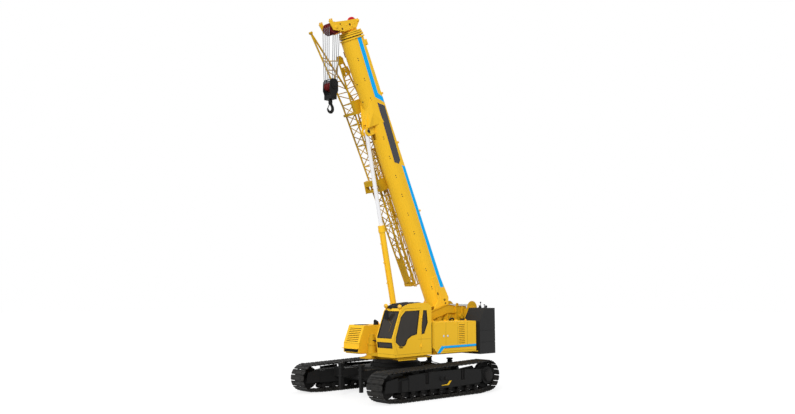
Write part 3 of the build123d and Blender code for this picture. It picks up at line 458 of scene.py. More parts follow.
# ---------------------------------------------------------------------------- track frames and wheels
# Welded box frames in black paint with flat outer panels, each bolted on through its corners. Forged
# rollers carry the weight, and the final drive's cover is a ring of cap screws round a domed lid.
black_paint = enamel("black_paint", "1f1f1f", "191919", roughness=0.45, gloss=0.08, bump=0.04, dusty=0.2,
                     dust_top=1.1, dust_colour="2e2b27")
roller_steel = enamel("roller_steel", "1c1b1b", "141313", roughness=0.4, metal=0.2, gloss=0.12, bump=0.2,
                      patch=0.2, dusty=0.3, dust_colour="2e2b27")
mark_yellow = enamel("mark_yellow", "f3c21c", "e0ad12", roughness=0.45, bump=0.0, dusty=0.1)
finish(black_paint, "track_frame_left", "track_frame_right", "final_drive_left", "final_drive_right")
finish(roller_steel, "track_rollers_left", "track_rollers_right")


def draw_bolt(bm):
    """Hexagon head on a washer, one unit across the washer, standing on Z = 0."""
    turned(bm, [(0.5, 0.0), (0.5, 0.07), (0.47, 0.1)], (0, 0, 0), axis="Z", steps=12)
    turned(bm, [(0.4, 0.09), (0.4, 0.36), (0.33, 0.42)], (0, 0, 0), axis="Z", steps=6)


def on_spots(tree, given):
    """The seed mesh's own points, each copy turned to the way its point faces."""
    facing = add_node(tree, "GeometryNodeInputNamedAttribute", {"Name": "facing"}, data_type="FLOAT_VECTOR")
    outward = add_node(tree, "FunctionNodeAlignRotationToVector", {"Vector": facing}, axis="Z")
    return {"Points": (given, "Geometry"), "Rotation": outward, "Scale": (given, "Across")}


bolt_tree = repeat_tree("bolts_on_spots", [("Across", "Float")], on_spots)
bolt = mesh_from("bolt", draw_bolt)


def bolts(name, spots, across, material, body):
    """One piece of bolt heads from (place, facing) pairs."""
    seeds = bpy.data.meshes.new(name + "_spots")
    seeds.from_pydata([spot for spot, _ in spots], [], [])
    facings = seeds.attributes.new("facing", "FLOAT_VECTOR", "POINT")
    for item, (_, direction) in zip(facings.data, spots):
        item.vector = direction
    return add_piece(repeated(name, bolt_tree, bolt, material, seeds, Across=across), material, body)


def ring_of(centre, radius, count, facing, start=0.0):
    """Spots round a circle that faces along one axis."""
    facing = Vector(facing)
    side = facing.orthogonal().normalized()
    other = facing.cross(side)
    return [(Vector(centre) + (side * math.cos(t) + other * math.sin(t)) * radius, facing)
            for t in turns(count, start)]


PANEL_FACE = 2.38
PANEL_CORNERS = [  # outlines of the outer panels, (x, z)
    [(1.64, 0.35), (1.93, 0.35), (1.93, 0.7), (1.64, 0.725)],
    [(0.85, 0.34), (1.61, 0.34), (1.61, 0.85), (0.85, 0.89)],
    [(-0.89, 0.34), (0.69, 0.34), (0.69, 0.905), (-0.89, 0.9)],
    [(-1.96, 0.4), (-1.08, 0.35), (-1.08, 0.89), (-1.96, 0.84)],
]
PANEL_INSET = 0.045        # from a panel's corner to its bolt
ROLLER_X = [-1.78 + 0.4475 * i for i in range(9)]
ROLLER_CAP = [(0.052, 0.0), (0.052, 0.03), (0.036, 0.045)]
FRAME_MARK = [(-0.41, 0.558), (-0.3, 0.555), (-0.19, 0.45), (0.09, 0.433), (0.09, 0.42), (-0.26, 0.418)]
FRAME_CAPS = [  # lids on the outer panels: profile, x, distance out from the panel, z, steps
    ([(0.03, 0.0), (0.03, 0.022), (0.018, 0.03)], -0.22, 0.0, 0.64, 16),
    ([(0.055, 0.0), (0.055, 0.05), (0.04, 0.058)], -0.1, 0.0, 0.655, 20),
    ([(0.19, 0.0), (0.186, 0.012), (0.12, 0.022), (0.05, 0.026)], SPROCKET["x"], 0.013, SPROCKET["z"], 40),
]
BOLT_RINGS = [  # x, distance out from the panel, z, radius, count
    (SPROCKET["x"], -0.066, SPROCKET["z"], 0.262, 16),
    (SPROCKET["x"], 0.014, SPROCKET["z"], 0.15, 8),
    (0.1, 0.034, 0.665, 0.048, 6),
]


def draw_guards(bm, sign):
    """Seal caps of the rollers, the guide between two rollers, and the grease valve's cover."""
    out_way = (0, sign, 0)
    for x in ROLLER_X:
        turned(bm, ROLLER_CAP, (x, sign * 2.262, 0.195), axis=out_way, steps=16)
        block(bm, (x - 0.085, sign * 2.266, 0.255), (x + 0.085, sign * 2.3, 0.33), 0.008)
        block(bm, (x - 0.11, sign * 2.1, 0.285), (x - 0.085, sign * 2.29, 0.335), 0.004)
    for profile, x, out, z, steps in FRAME_CAPS:
        turned(bm, profile, (x, sign * (PANEL_FACE + out), z), axis=out_way, steps=steps)
    for x in (0.7, -1.07):
        block(bm, (x + 0.02, sign * 2.3, 0.53), (x + 0.07, sign * 2.345, 0.88), 0.006)


for side, sign in SIDES:
    spots = []
    for corners in PANEL_CORNERS:
        mid_x, mid_z = (sum(values) / 4 for values in zip(*corners))
        spots += [((x + math.copysign(PANEL_INSET, mid_x - x), sign * PANEL_FACE,
                    z + math.copysign(PANEL_INSET, mid_z - z)), (0, sign, 0)) for x, z in corners]
    for x, out, z, radius, count in BOLT_RINGS:
        spots += ring_of((x, sign * (PANEL_FACE + out), z), radius, count, (0, sign, 0))
    bolts("frame_bolts_" + side, spots, 0.03, black_paint, "undercarriage")
    drawn("frame_fittings_" + side, lambda bm: draw_guards(bm, sign), roller_steel, "undercarriage",
          30)
    low, high = sign * PANEL_FACE, sign * (PANEL_FACE + 0.002)
    drawn("frame_mark_" + side, lambda bm: prism(bm, FRAME_MARK, low, high), mark_yellow, "undercarriage")


# ------------------------------------------------------------------------------- car body, legs, ring
# Welded box with two axle beams, black like the frames. Its four assembly legs slide in sleeves and
# hold by a pin each, and the slewing ring's two rows of screws show round its upper edge.
ring_steel = enamel("ring_steel", "2c2b2a", "1e1d1c", roughness=0.4, metal=0.5, patch=0.2, dusty=0.2,
                    dust_colour="2e2b27")
finish(black_paint, "car_body", "jack_legs")
finish(ring_steel, "slew_ring")
LEG_SPOTS = [(2.09, 0.54), (2.09, -0.54), (-2.27, 0.54), (-2.27, -0.54)]
LEG_PIN_Z = 1.005
RING_TOP, RING_SCREW_R = 1.075, 0.86


def draw_leg_fittings(bm):
    """Locking pin through each leg, its grip, and the clamp plates of the sleeve."""
    for x, y in LEG_SPOTS:
        rod(bm, (x, y, LEG_PIN_Z), 0.016, -0.115, 0.115)
        rod(bm, (x, y, LEG_PIN_Z), 0.03, 0.112, 0.124)
        for low in (0.66, 0.925):
            block(bm, (x - 0.078, y - 0.104, low), (x + 0.078, y + 0.104, low + 0.035), 0.005)


def draw_chain_guides(bm):
    """Plates along the bottom rollers that keep the chain on them, one under the rear of the top run."""
    low_plate = [(-1.88, 0.15), (1.9, 0.15), (1.94, 0.345), (-1.94, 0.345)]
    top_plate = [(-1.95, 0.8), (-1.15, 0.8), (-1.15, 0.905), (-1.8, 0.96)]
    for sign in (-1, 1):
        for across, outline in ((-0.125, low_plate), (0.115, low_plate), (0.02, top_plate)):
            y = sign * (TRACK_Y + across)
            prism(bm, outline, y - 0.006, y + 0.006)


drawn("chain_guides", draw_chain_guides, black_paint, "undercarriage")
drawn("leg_fittings", draw_leg_fittings, black_paint, "undercarriage", 30)
bolts("ring_bolts", ring_of((0, 0, RING_TOP), RING_SCREW_R, 48, (0, 0, 1)), 0.034, ring_steel,
      "undercarriage")


def pipe(bm, points, radius, bend=0.05, steps=10):
    """Round pipe through a few points, with bent corners and closed ends."""
    points = [Vector(p) for p in points]
    route = [points[0]]
    for before, at, after in zip(points, points[1:], points[2:]):
        into, onward = before - at, after - at
        reach = min(bend, 0.45 * into.length, 0.45 * onward.length)
        start, end = at + into.normalized() * reach, at + onward.normalized() * reach
        route += [start.lerp(at, t).lerp(at.lerp(end, t), t) for t in (0.0, 0.25, 0.5, 0.75, 1.0)]
    route.append(points[-1])
    side = (route[1] - route[0]).orthogonal().normalized()
    rings = []
    for i, spot in enumerate(route):
        way = (route[min(i + 1, len(route) - 1)] - route[max(i - 1, 0)]).normalized()
        side = (side - way * side.dot(way)).normalized()
        other = way.cross(side)
        rings.append([spot + (side * math.cos(t) + other * math.sin(t)) * radius for t in turns(steps)])
    skin(bm, rings)


def draw_body_pipes(bm):
    """Steel oil lines to the two final drives, laid along the car body and the rear axle beam."""
    for sign in (1, -1):
        for shift in (0.0, 0.045):
            rear = -1.42 - shift
            pipe(bm, [(-0.6 - shift, sign * 0.3, 0.975 + shift), (rear, sign * 0.3, 0.975 + shift),
                      (rear, sign * 1.6, 0.875), (-1.95, sign * (1.72 + shift), 0.7)], 0.014, bend=0.08)


drawn("body_pipes", draw_body_pipes, black_paint, "undercarriage", 50)


# --------------------------------------------------------------------------------- slewing platform
# Deck, tall boom support plates and cross members, welded and sprayed in one golden yellow, here painted
# darker than the boom as painted shade from the boom and houses over them. Bolted keeper plates hold the
# pins of the boom foot and of the derrick cylinder.
crane_yellow = enamel("crane_yellow", "fbc62c", "f4bd22", roughness=0.36, gloss=0.16, bump=0.02, patch=1.3,
                      strength=0.35, dusty=0.08, dust_top=1.6, dust_colour="8a7448")
# A darker copy of the boom's yellow: painted shade on the platform, slewing drive and drums.
frame_yellow = enamel("frame_yellow", "d6a51c", "bf9014", roughness=0.42, gloss=0.12, bump=0.02, patch=0.9,
                      strength=0.5, dusty=0.15, dust_top=1.7, dust_colour="8a7448")
finish(frame_yellow, "turntable", "slew_drive")
black_rubber = enamel("black_rubber", "1a1a1b", "131314", roughness=0.6, gloss=0.15, bump=0.15, dusty=0.1,
                      dust_colour="2e2b27")
FOOT = (-1.8, 2.55)
RAM_FOOT = (-0.131, 2.0)
KEEPER_OUT = 0.474         # outer face of a pin's keeper plate
CHEEK_OUT = 0.45          # outer face of a support plate
RIB_OUT = 0.52            # outer edge of the ribs on it
CHEEK_TOP = [(-0.32, 2.23), (-1.25, 2.79), (-1.483, 2.87), (-2.134, 3.056), (-2.354, 3.088), (-2.688, 3.031),
             (-3.26, 3.022)]
CHEEK_RIBS = [  # x, lower and upper end
    (-2.56, 1.44, 2.0), (-1.02, 1.44, 2.0), (-0.72, 1.44, 2.0), (-2.225, 2.46, 2.77), (-2.69, 2.44, 3.02),
    (-3.05, 2.44, 3.01),
]
SLEW_DRIVE = (0.86, -0.32)


def ribbon(bm, points, width, low, high, axis="Y", lift=0.0):
    """Flat strip of even width along a line of points, its corners mitred."""
    points = [Vector(p).to_2d() for p in points]
    left, right = [], []
    for i, at in enumerate(points):
        into = (at - points[i - 1]).normalized() if i else (points[1] - at).normalized()
        onward = (points[i + 1] - at).normalized() if i + 1 < len(points) else into
        normal = (Vector((-into.y, into.x)) + Vector((-onward.y, onward.x))).normalized()
        reach = 1.0 / max(0.35, normal.dot(Vector((-into.y, into.x))))
        left.append(at + normal * (width / 2 + lift) * reach)
        right.append(at - normal * (width / 2 - lift) * reach)
    for i in range(len(points) - 1):
        prism(bm, [left[i], left[i + 1], right[i + 1], right[i]], low, high, axis=axis)


def plates(bm, outline, face, thick):
    """The same flat plate on two opposite outer faces."""
    for sign in (1, -1):
        prism(bm, outline, sign * face, sign * (face + thick))


def caps(bm, profile, spots, face, steps):
    """The same turned cap at (x, z) spots of two opposite outer faces."""
    for sign in (1, -1):
        for x, z in spots:
            turned(bm, profile, (x, sign * face, z), axis=(0, sign, 0), steps=steps)


def lifting_eye(bm, centre, radius, bore, half, steps=20):
    """Upright ring plate, a little proud round its bore."""
    profile = [(radius, -half), (radius, half), (bore, half + 0.002), (bore, -half - 0.002)]
    turned(bm, profile, centre, steps=steps)


def draw_platform_fittings(bm):
    """Flanges and ribs along the support plates, pin ends with keepers, and lifting eyes."""
    caps(bm, [(0.125, 0.0), (0.125, 0.016), (0.082, 0.018), (0.082, 0.03), (0.07, 0.04)], (FOOT, RAM_FOOT),
         CHEEK_OUT, 28)
    for sign in (1, -1):
        ribbon(bm, CHEEK_TOP, 0.014, sign * 0.385, sign * 0.48)
        ribbon(bm, [(-1.42, 2.56), (-2.2, 2.785), (-2.7, 2.785)], 0.018, sign * CHEEK_OUT, sign * RIB_OUT)
        for x, z in (FOOT, RAM_FOOT):
            block(bm, (x - 0.06, sign * CHEEK_OUT, z - 0.165), (x + 0.06, sign * KEEPER_OUT, z - 0.115),
                  0.005)
        for x, z in ((-2.83, 3.071), (-1.02, 2.705)):
            lifting_eye(bm, (x, sign * 0.432, z), 0.075, 0.038, 0.012)
        for x, low, high in CHEEK_RIBS:
            block(bm, (x - 0.012, sign * CHEEK_OUT, low), (x + 0.012, sign * RIB_OUT, high), 0.003)


drawn("platform_fittings", draw_platform_fittings, frame_yellow, "upper", 30)
spots = ring_of((*SLEW_DRIVE, 1.3), 0.235, 14, (0, 0, 1))
spots += ring_of((*SLEW_DRIVE, 1.405), 0.207, 10, (0, 0, 1), 0.2)
for sign in (1, -1):
    for x, z in (FOOT, RAM_FOOT):
        spots += [((x + dx, sign * KEEPER_OUT, z - 0.14), (0, sign, 0)) for dx in (-0.04, 0.04)]
        spots += ring_of((x, sign * (CHEEK_OUT + 0.016), z), 0.104, 8, (0, sign, 0))
bolts("platform_bolts", spots, 0.03, frame_yellow, "upper")


WINCH_HOSES = [  # route, radius, bend
    ([(-2.46, 0.52, 2.2), (-2.4, 0.66, 2.52), (-2.28, 0.7, 2.6), (-2.16, 0.66, 2.52), (-2.1, 0.52, 2.2)],
     0.03, 0.12),
    ([(-2.36, 0.5, 2.1), (-2.33, 0.58, 2.42), (-2.24, 0.6, 2.47), (-2.15, 0.58, 2.42), (-2.12, 0.5, 2.1)],
     0.022, 0.1),
]


def draw_platform_hoses(bm):
    """Hydraulic lines on the deck, over the support plates' edge, and to the slewing drive."""
    for i in range(4):
        y, x = 0.5 + 0.035 * i, -0.4 + 0.05 * i
        start = (-2.62 + 0.05 * i, y, 1.46 + 0.01 * i)
        pipe(bm, [start, (-0.7, y, 1.455), (x, y, 1.455), (x, 0.47, 1.8)], 0.014, bend=0.1)
    for route, radius, bend in WINCH_HOSES:
        pipe(bm, route, radius, bend=bend)
    for dx in (-0.05, 0.05):
        x = SLEW_DRIVE[0] + dx
        pipe(bm, [(x, -0.24, 1.84), (x, -0.1, 1.86), (0.7, 0.02, 1.6), (0.46, 0.05, 1.46)], 0.016, bend=0.09)


drawn("platform_hoses", draw_platform_hoses, black_rubber, "upper", 60)


# ----------------------------------------------------------------------------------------- winches
# Two drums behind the boom foot, wound with a single layer of steel rope, between thick flanges. A
# planetary gear sits inside each, and its ribbed end shows through the left support plate.
# The drums take the platform's darker yellow, painted shade under the boom foot.
finish(frame_yellow, "main_drum", "aux_drum")
rope_steel = enamel("rope_steel", "b4b6b8", "86888b", roughness=0.38, metal=0.75, bump=0.3, patch=0.1,
                    dusty=0.0)
WINCHES = [dict(body="main_winch", x=-3.0, z=2.66, r=0.22, half=0.33, rope=0.013),
           dict(body="aux_winch", x=-3.48, z=2.935, r=0.14, half=0.625, rope=0.008)]


def in_a_line(tree, given):
    """Spots in a straight line, each a step further on."""
    values = {"Count": (given, "Count"), "Start Location": (given, "Start"), "Offset": (given, "Step")}
    return {"Points": add_node(tree, "GeometryNodeMeshLine", values, mode="OFFSET")}


line_inputs = [("Count", "Int"), ("Start", "Vector"), ("Step", "Vector")]
line_tree = repeat_tree("copies_in_a_line", line_inputs, in_a_line)


def draw_rope_turn(bm, radius, rope):
    """One turn of rope round the Y axis, at the origin."""
    profile = [(radius + rope * math.cos(a), rope * math.sin(a)) for a in turns(6)]
    skin(bm, [[(r * math.cos(t), y, r * math.sin(t)) for r, y in profile] for t in turns(36)], closed=True)


for winch in WINCHES:
    x, z, half, rope = winch["x"], winch["z"], winch["half"], winch["rope"]
    turn = mesh_from("turn", lambda bm: draw_rope_turn(bm, winch["r"] + rope, rope))
    room = 2 * (half - 0.025)
    count = int(room / (2 * rope))
    step = room / count
    wound = repeated(winch["body"] + "_rope", line_tree, turn, rope_steel, Count=count,
                     Start=(x, (step - room) / 2, z), Step=(0.0, step, 0.0))
    wound.shade_smooth()
    add_piece(wound, rope_steel, winch["body"])
    ends = []
    for sign in (1, -1):
        ends += ring_of((x, sign * half, z), winch["r"] * 0.75, 12, (0, sign, 0))
    if winch["body"] == "main_winch":
        ends += ring_of((x, 0.52, z), 0.08, 8, (0, 1, 0))
    bolts(winch["body"] + "_bolts", ends, 0.028, crane_yellow, winch["body"])


# ------------------------------------------------------------------- engine house, right-hand side
# Pressed sheet doors over a frame, painted inside and out. The sloped front has folded louvre blades,
# a steel mesh lies under the lip, and the exhaust's elbow stands on the roof.
cast_iron = enamel("cast_iron", "3c3b39", "2a2927", roughness=0.6, metal=0.3, bump=0.4)
# Dark olive for the joint lines between panels, and for dark plates painted as the shade inside holes at the
# boom foot and head.
seam_black = enamel("seam_black", "5e4510", "4a360c", roughness=0.7, bump=0.0, dusty=0.0)
latch_steel = enamel("latch_steel", "c9d2e0", "a9b4c6", roughness=0.25, metal=0.7, bump=0.02, patch=0.1,
                     dusty=0.0)
# Dark for the grilles, and for sheets painted as the shade of the rooms behind the louvres.
mesh_black = enamel("mesh_black", "2c2519", "1d1912", roughness=0.6, bump=0.1, dusty=0.1)
finish(crane_yellow, "engine_house")
finish(cast_iron, "engine_block")
FACE = 1.5               # outer face of both houses and of the cab
ROOF = 2.36               # top of the engine house
SLOPE_LOW, SLOPE_TOP = (1.2, 1.73), (0.95, ROOF)


def louvres(name, fold, low, high, axis, count, start, step):
    """Row of equal folded blades, each a step further on."""
    blade = mesh_from(name + "_one", lambda bm: prism(bm, fold, low, high, axis=axis))
    row = repeated(name, line_tree, blade, crane_yellow, Count=count, Start=start, Step=step)
    add_piece(row, crane_yellow, "upper")


FRONT_FOLD = [(-0.02, 0.024), (0.012, 0.019), (0.015, 0.009), (0.01, 0.008), (0.008, 0.014), (-0.02, 0.019)]
SIDE_FOLD = [(0.01, 0.03), (-0.01, 0.02), (-0.014, 0.008), (-0.01, 0.006), (-0.006, 0.016), (0.01, 0.024)]
FRONT_ROW = dict(low=1.805, pitch=0.064)
slant = (SLOPE_TOP[0] - SLOPE_LOW[0]) / (SLOPE_TOP[1] - SLOPE_LOW[1])
louvres("front_blades", FRONT_FOLD, -1.388, -0.752, "Y", 8,
        (SLOPE_LOW[0] + slant * (FRONT_ROW["low"] - SLOPE_LOW[1]), 0.0, FRONT_ROW["low"]),
        (FRONT_ROW["pitch"] * slant, 0.0, FRONT_ROW["pitch"]))
for name, x in (("side_blades_rear", -1.575), ("side_blades_front", -0.725)):
    louvres(name, SIDE_FOLD, -0.325, 0.325, "X", 8, (x, -FACE, 1.632), (0.0, 0.0, 0.08))


def draw_house_dark(bm):
    """Radiator mesh below the lip, painted shade behind the louvres, and the roof's air intake grid."""
    block(bm, (1.199, -1.45, 1.418), (1.206, -0.69, 1.528))
    prism(bm, [(1.165, 1.765), (0.925, 2.33), (0.915, 2.33), (1.155, 1.765)], -1.4, -0.74)
    block(bm, (-1.92, -1.478, 1.6), (-0.38, -1.47, 2.26))
    block(bm, (0.42, -1.38, 2.3605), (0.82, -0.98, 2.366))


def draw_mesh_wires(bm):
    """Pressed ribs over the lower grille and over the roof intake."""
    for i in range(19):
        y = -1.44 + 0.0405 * i
        block(bm, (1.204, y, 1.42), (1.212, y + 0.01, 1.526))
    for i in range(10):
        x = 0.435 + 0.04 * i
        block(bm, (x, -1.38, 2.364), (x + 0.012, -0.98, 2.376), 0.002)


drawn("house_mesh", draw_house_dark, mesh_black, "upper")
drawn("house_ribs", draw_mesh_wires, black_paint, "upper")

SEAM, SEAM_PROUD = 0.007, 0.0012
RIGHT_SEAMS = dict(x=(-2.05, -1.15, -0.3, 0.62), ends=(1.44, 2.33))
LEFT_SEAMS = dict(x=(-1.07, -1.7, -2.215), ends=(1.66, 2.47))


def draw_house_seams(bm):
    for sign, row in ((-1, RIGHT_SEAMS), (1, LEFT_SEAMS)):
        for x in row["x"]:
            ribbon(bm, [(x, z) for z in row["ends"]], SEAM, sign * FACE, sign * (FACE + SEAM_PROUD))
    for line, sign in (([(-2.66, 1.52), (1.15, 1.52)], -1), ([(-0.455, 1.62), (-0.455, 2.47)], 1),
                       ([(-2.66, 1.46), (-0.6, 1.46)], 1)):
        ribbon(bm, line, SEAM, sign * FACE, sign * (FACE + SEAM_PROUD))
    for x in (-2.05, -0.3):
        ribbon(bm, [(x, -1.49), (x, -0.65)], SEAM, ROOF, ROOF + SEAM_PROUD, axis="Z")
    ribbon(bm, [(-1.49, 1.735), (-0.65, 1.735)], SEAM, SLOPE_LOW[0], SLOPE_LOW[0] + SEAM_PROUD, axis="X")


drawn("house_seams", draw_house_seams, seam_black, "upper")


def draw_right_fittings(bm):
    """Rolled top edge, hinges, lifting eyes and a rail along the roof of the engine house."""
    for y in (-1.487, -0.653):
        pipe(bm, [(-2.68, y, 2.353), (0.945, y, 2.353)], 0.016, steps=12)
    for x in (-2.4, -1.6, -0.7, 0.15):
        block(bm, (x, -1.513, 2.262), (x + 0.1, -1.499, 2.298), 0.004)
    for x in (-2.3, -0.1):
        lifting_eye(bm, (x, -1.07, 2.395), 0.05, 0.026, 0.01, 18)
        block(bm, (x - 0.06, -1.1, 2.359), (x + 0.06, -1.04, 2.372), 0.004)
    for radius, rail in ((0.016, ((-2.45, ROOF), (-2.45, 2.56), (-0.55, 2.56), (-0.55, ROOF))),
                         (0.014, ((-1.5, ROOF), (-1.5, 2.56)))):
        pipe(bm, [(x, -0.72, z) for x, z in rail], radius, bend=0.09)


def draw_exhaust(bm):
    """Silencer stub with a rain elbow, and the bracket that holds it to the roof."""
    x, y = 0.3, -0.74
    profile = [(0.096, 0.0), (0.096, 0.02), (0.088, 0.03), (0.088, 0.12), (0.08, 0.15)]
    turned(bm, profile, (x, y, ROOF), axis="Z")
    pipe(bm, [(x, y, 2.44), (x, y, 2.495), (x + 0.07, y, 2.51)], 0.055, steps=20)
    for z in (2.4, 2.46):
        rod(bm, (x, y, z), 0.095, 0.0, 0.016, axis="Z", steps=32)


drawn("engine_house_fittings", draw_right_fittings, crane_yellow, "upper", 35)
drawn("exhaust_pipe", draw_exhaust, black_paint, "upper", 40, replaces=["exhaust_stack"])


# --------------------------------------------------------------------- side house, left-hand side
# Sheet doors over the hydraulic tank and valves. A blue band runs along its lower edge and turns down
# at the front, with a thin shadow line under it.
finish(crane_yellow, "side_house")
stripe_blue = enamel("stripe_blue", "00b4ff", "00abfa", roughness=0.38, gloss=0.12, bump=0.0, strength=0.2,
                     dusty=0.02)
stripe_dark = enamel("stripe_dark", "5a4214", "4a3610", roughness=0.5, bump=0.0, dusty=0.0)
HOUSE_BAND = [(-2.69, 1.585), (-0.98, 1.575), (-0.76, 1.405), (-0.615, 1.405), (-0.83, 1.648), (-0.95, 1.65),
              (-2.69, 1.662)]
BAND_SHADES = [[(-2.69, 1.568), (-0.99, 1.558), (-1.0, 1.573), (-2.69, 1.583)],
               [(-0.585, 1.405), (-0.615, 1.405), (-0.462, 1.58), (-0.45, 1.575)]]


def draw_band_shades(bm):
    for outline in BAND_SHADES:
        prism(bm, outline, FACE, FACE + 0.0015)


def draw_latches(bm):
    """Paddle latches, each a bright cup with a lever in it."""
    for x in (-0.955, -1.165):
        turned(bm, [(0.04, 0.0), (0.04, 0.004), (0.03, 0.012)], (x, FACE, 2.0), steps=20)
        block(bm, (x - 0.02, FACE + 0.01, 1.965), (x + 0.02, FACE + 0.018, 2.04), 0.004)
    for x in (-2.1, -1.2, -0.35, 0.57):
        block(bm, (x - 0.028, -FACE - 0.012, 1.86), (x + 0.028, -FACE, 1.95), 0.006)


def draw_left_fittings(bm):
    """Rolled top edge, hinges, filler caps and lifting eyes."""
    for y in (0.653, 1.487):
        pipe(bm, [(-2.68, y, 2.487), (-0.44, y, 2.494)], 0.014, steps=12)
    pipe(bm, [(-2.684, 0.66, 2.484), (-2.684, 1.48, 2.484)], 0.014, steps=12)
    for x in (-2.6, -1.6, -0.6):
        block(bm, (x, 1.499, 2.4), (x + 0.08, 1.511, 2.435), 0.004)
    turned(bm, [(0.075, 0.0), (0.075, 0.03), (0.06, 0.045)], (-2.3, 0.86, 2.488), axis="Z", steps=24)
    turned(bm, [(0.045, 0.0), (0.045, 0.055), (0.035, 0.065)], (-1.05, 0.84, 2.494), axis="Z", steps=20)
    for x in (-2.45, -1.35):
        lifting_eye(bm, (x, 1.2, 2.525), 0.042, 0.022, 0.008, 16)


def draw_tank_dark(bm):
    """Painted shade behind the tank's louvres, and the rubber strip between cab and side house."""
    block(bm, (-2.095, 1.47, 1.7), (-1.75, 1.478, 2.46))
    block(bm, (-0.428, 0.7, 1.45), (-0.337, 1.44, 2.48))


drawn("house_stripe", lambda bm: prism(bm, HOUSE_BAND, FACE, FACE + 0.002), stripe_blue, "upper")
drawn("house_stripe_shade", draw_band_shades, stripe_dark, "upper")
drawn("door_latches", draw_latches, latch_steel, "upper", 30)
TANK_FOLD = [(-0.008, 0.025), (0.008, 0.018), (0.011, 0.008), (0.007, 0.007), (0.005, 0.014), (-0.008, 0.02)]
louvres("tank_blades", TANK_FOLD, -0.1575, 0.1575, "X", 11, (-1.9225, FACE, 1.729), (0.0, 0.0, 0.066))
drawn("side_house_fittings", draw_left_fittings, crane_yellow, "upper", 35)
drawn("side_house_mesh", draw_tank_dark, mesh_black, "upper")


# ---------------------------------------------------------------------------------- counterweight
# Three cast slabs stacked on the rear of the platform, dark grey, with their corners broken and the
# lifting eyes and marker posts on top. Long tie bolts hold the stack.
weight_paint = enamel("weight_paint", "2b2b2b", "252525", roughness=0.42, gloss=0.12, bump=0.05, patch=1.5,
                      strength=0.5, dusty=0.04, dust_colour="3a362f")
finish(weight_paint, "counterweight")
WEIGHT_TOP = 2.96
POSTS = [  # x, y, height, radius, and its knob: how far below the top it starts, radius, length
    (-3.62, 0.86, 0.1, 0.012, None), (-3.52, 1.02, 0.2, 0.011, (0.02, 0.026, 0.05)),
    (-3.42, 1.3, 0.12, 0.014, (0.015, 0.032, 0.03)),
]


def draw_weight_fittings(bm):
    """Marker posts and lifting eyes on the two horns of the stack, and the tie bolts' ends at the rear."""
    for sign in (1, -1):
        for x, y, height, radius, knob in POSTS:
            turned(bm, [(0.04, 0.0), (0.04, 0.018), (radius, 0.026), (radius, height),
                        (radius * 0.6, height + 0.006)], (x, sign * y, WEIGHT_TOP), axis="Z", steps=14)
            if knob:
                drop, thick, long = knob
                rod(bm, (x, sign * y, WEIGHT_TOP + height - drop), thick, 0.0, long, axis="Z")
        for x in (-3.68, -3.34):
            lifting_eye(bm, (x, sign * 1.16, 3.0), 0.055, 0.028, 0.014)
    for y in (-0.95, 0.95):
        for z in (1.48, 1.92, 2.3):
            turned(bm, [(0.06, 0.0), (0.06, -0.01), (0.04, -0.014)], (-3.79, y, z), axis="X", steps=20)


drawn("weight_fittings", draw_weight_fittings, weight_paint, "upper", 30)


# ---------------------------------------------------------------------------------------------- cab
# Steel shell of pressed panels with rounded corners and dark tinted panes bonded into rubber. The
# door swings on two outside hinges, and a ribbed step hangs under its sill.
glass, tree, shader, place = new_paint("tinted_glass")
clouds = add_node(tree, "ShaderNodeGroup", {
    "Vector": place, "Colour": linear("3b3630"), "Shade": linear("322d28"), "Patch Size": 0.9,
    "Strength": 0.6, "Roughness": 0.03, "Roughness Spread": 0.05}, node_tree=mottle)
fill(tree, shader, {"Base Color": (clouds, "Colour"), "Roughness": (clouds, "Roughness"),
                    "Transmission Weight": 0.25, "Specular IOR Level": 0.12})
finish(glass, "cab_glass", "door_glass")

CAB_Y = (0.665, FACE)
PANE_Y = (0.707, 1.458)
SCREEN = dict(low=(1.545, 1.99), top=(1.185, 2.91))       # slope of the windscreen, (x, z)
CHIN = dict(low=(1.45, 1.36), top=(1.545, 1.99))         # slope below it
DOOR_OUTLINE = [(0.19, 1.47), (1.27, 1.455), (1.45, 1.9), (1.44, 2.05), (1.215, 2.73), (1.0, 2.985),
                (0.19, 3.01)]
DOOR_WINDOW = [(0.398, 2.115), (0.656, 2.063), (0.845, 1.96), (0.934, 1.784), (1.01, 1.734), (1.206, 1.734),
               (1.389, 1.881), (1.378, 2.035), (1.151, 2.71), (0.932, 2.906), (0.259, 2.927)]
SIDE_WINDOW = [(0.033, 2.134), (0.15, 2.11), (0.15, 2.4), (0.073, 2.926), (-0.086, 2.924), (-0.133, 2.502)]
FAR_WINDOW = [(-0.2, 2.05), (1.4, 2.05), (1.11, 2.88), (-0.2, 2.88)]
ROOF_LINE = [(0.15, 3.195), (0.3, 3.195), (0.8, 3.15), (1.06, 3.06), (1.105, 3.005)]


def softened(name, body):
    """Copy of a CAD node with its curved faces shaded smooth and its flat sides left sharp."""
    bm = bmesh.new()
    bm.from_mesh(node[name].data)
    bmesh.ops.remove_doubles(bm, verts=bm.verts, dist=2e-5)
    mesh = bpy.data.meshes.new(name + "_panels")
    bm.to_mesh(mesh)
    bm.free()
    smooth(mesh, 24)
    for face in mesh.polygons:
        if abs(face.normal.y) > 0.999:
            face.use_smooth = False
    add_piece(mesh, crane_yellow, body, replaces=[name])


softened("cab_shell", "upper")
softened("cab_door", "door")


def slope_x(slope, z):
    (x0, z0), (x1, z1) = slope["low"], slope["top"]
    return x0 + (z - z0) * (x1 - x0) / (z1 - z0)


def draw_pane_frame(bm, slope, low, high, width=0.024, proud=0.004, deep=0.018):
    """Rubber frame on a sloped pane that spans the cab's width."""
    for z0, z1, y0, y1 in ((low, low + width, *PANE_Y), (high - width, high, *PANE_Y),
                           (low + width, high - width, PANE_Y[0], PANE_Y[0] + width),
                           (low + width, high - width, PANE_Y[1] - width, PANE_Y[1])):
        a, b = slope_x(slope, z0), slope_x(slope, z1)
        prism(bm, [(a + proud, z0), (b + proud, z1), (b - deep, z1), (a - deep, z0)], y0, y1)


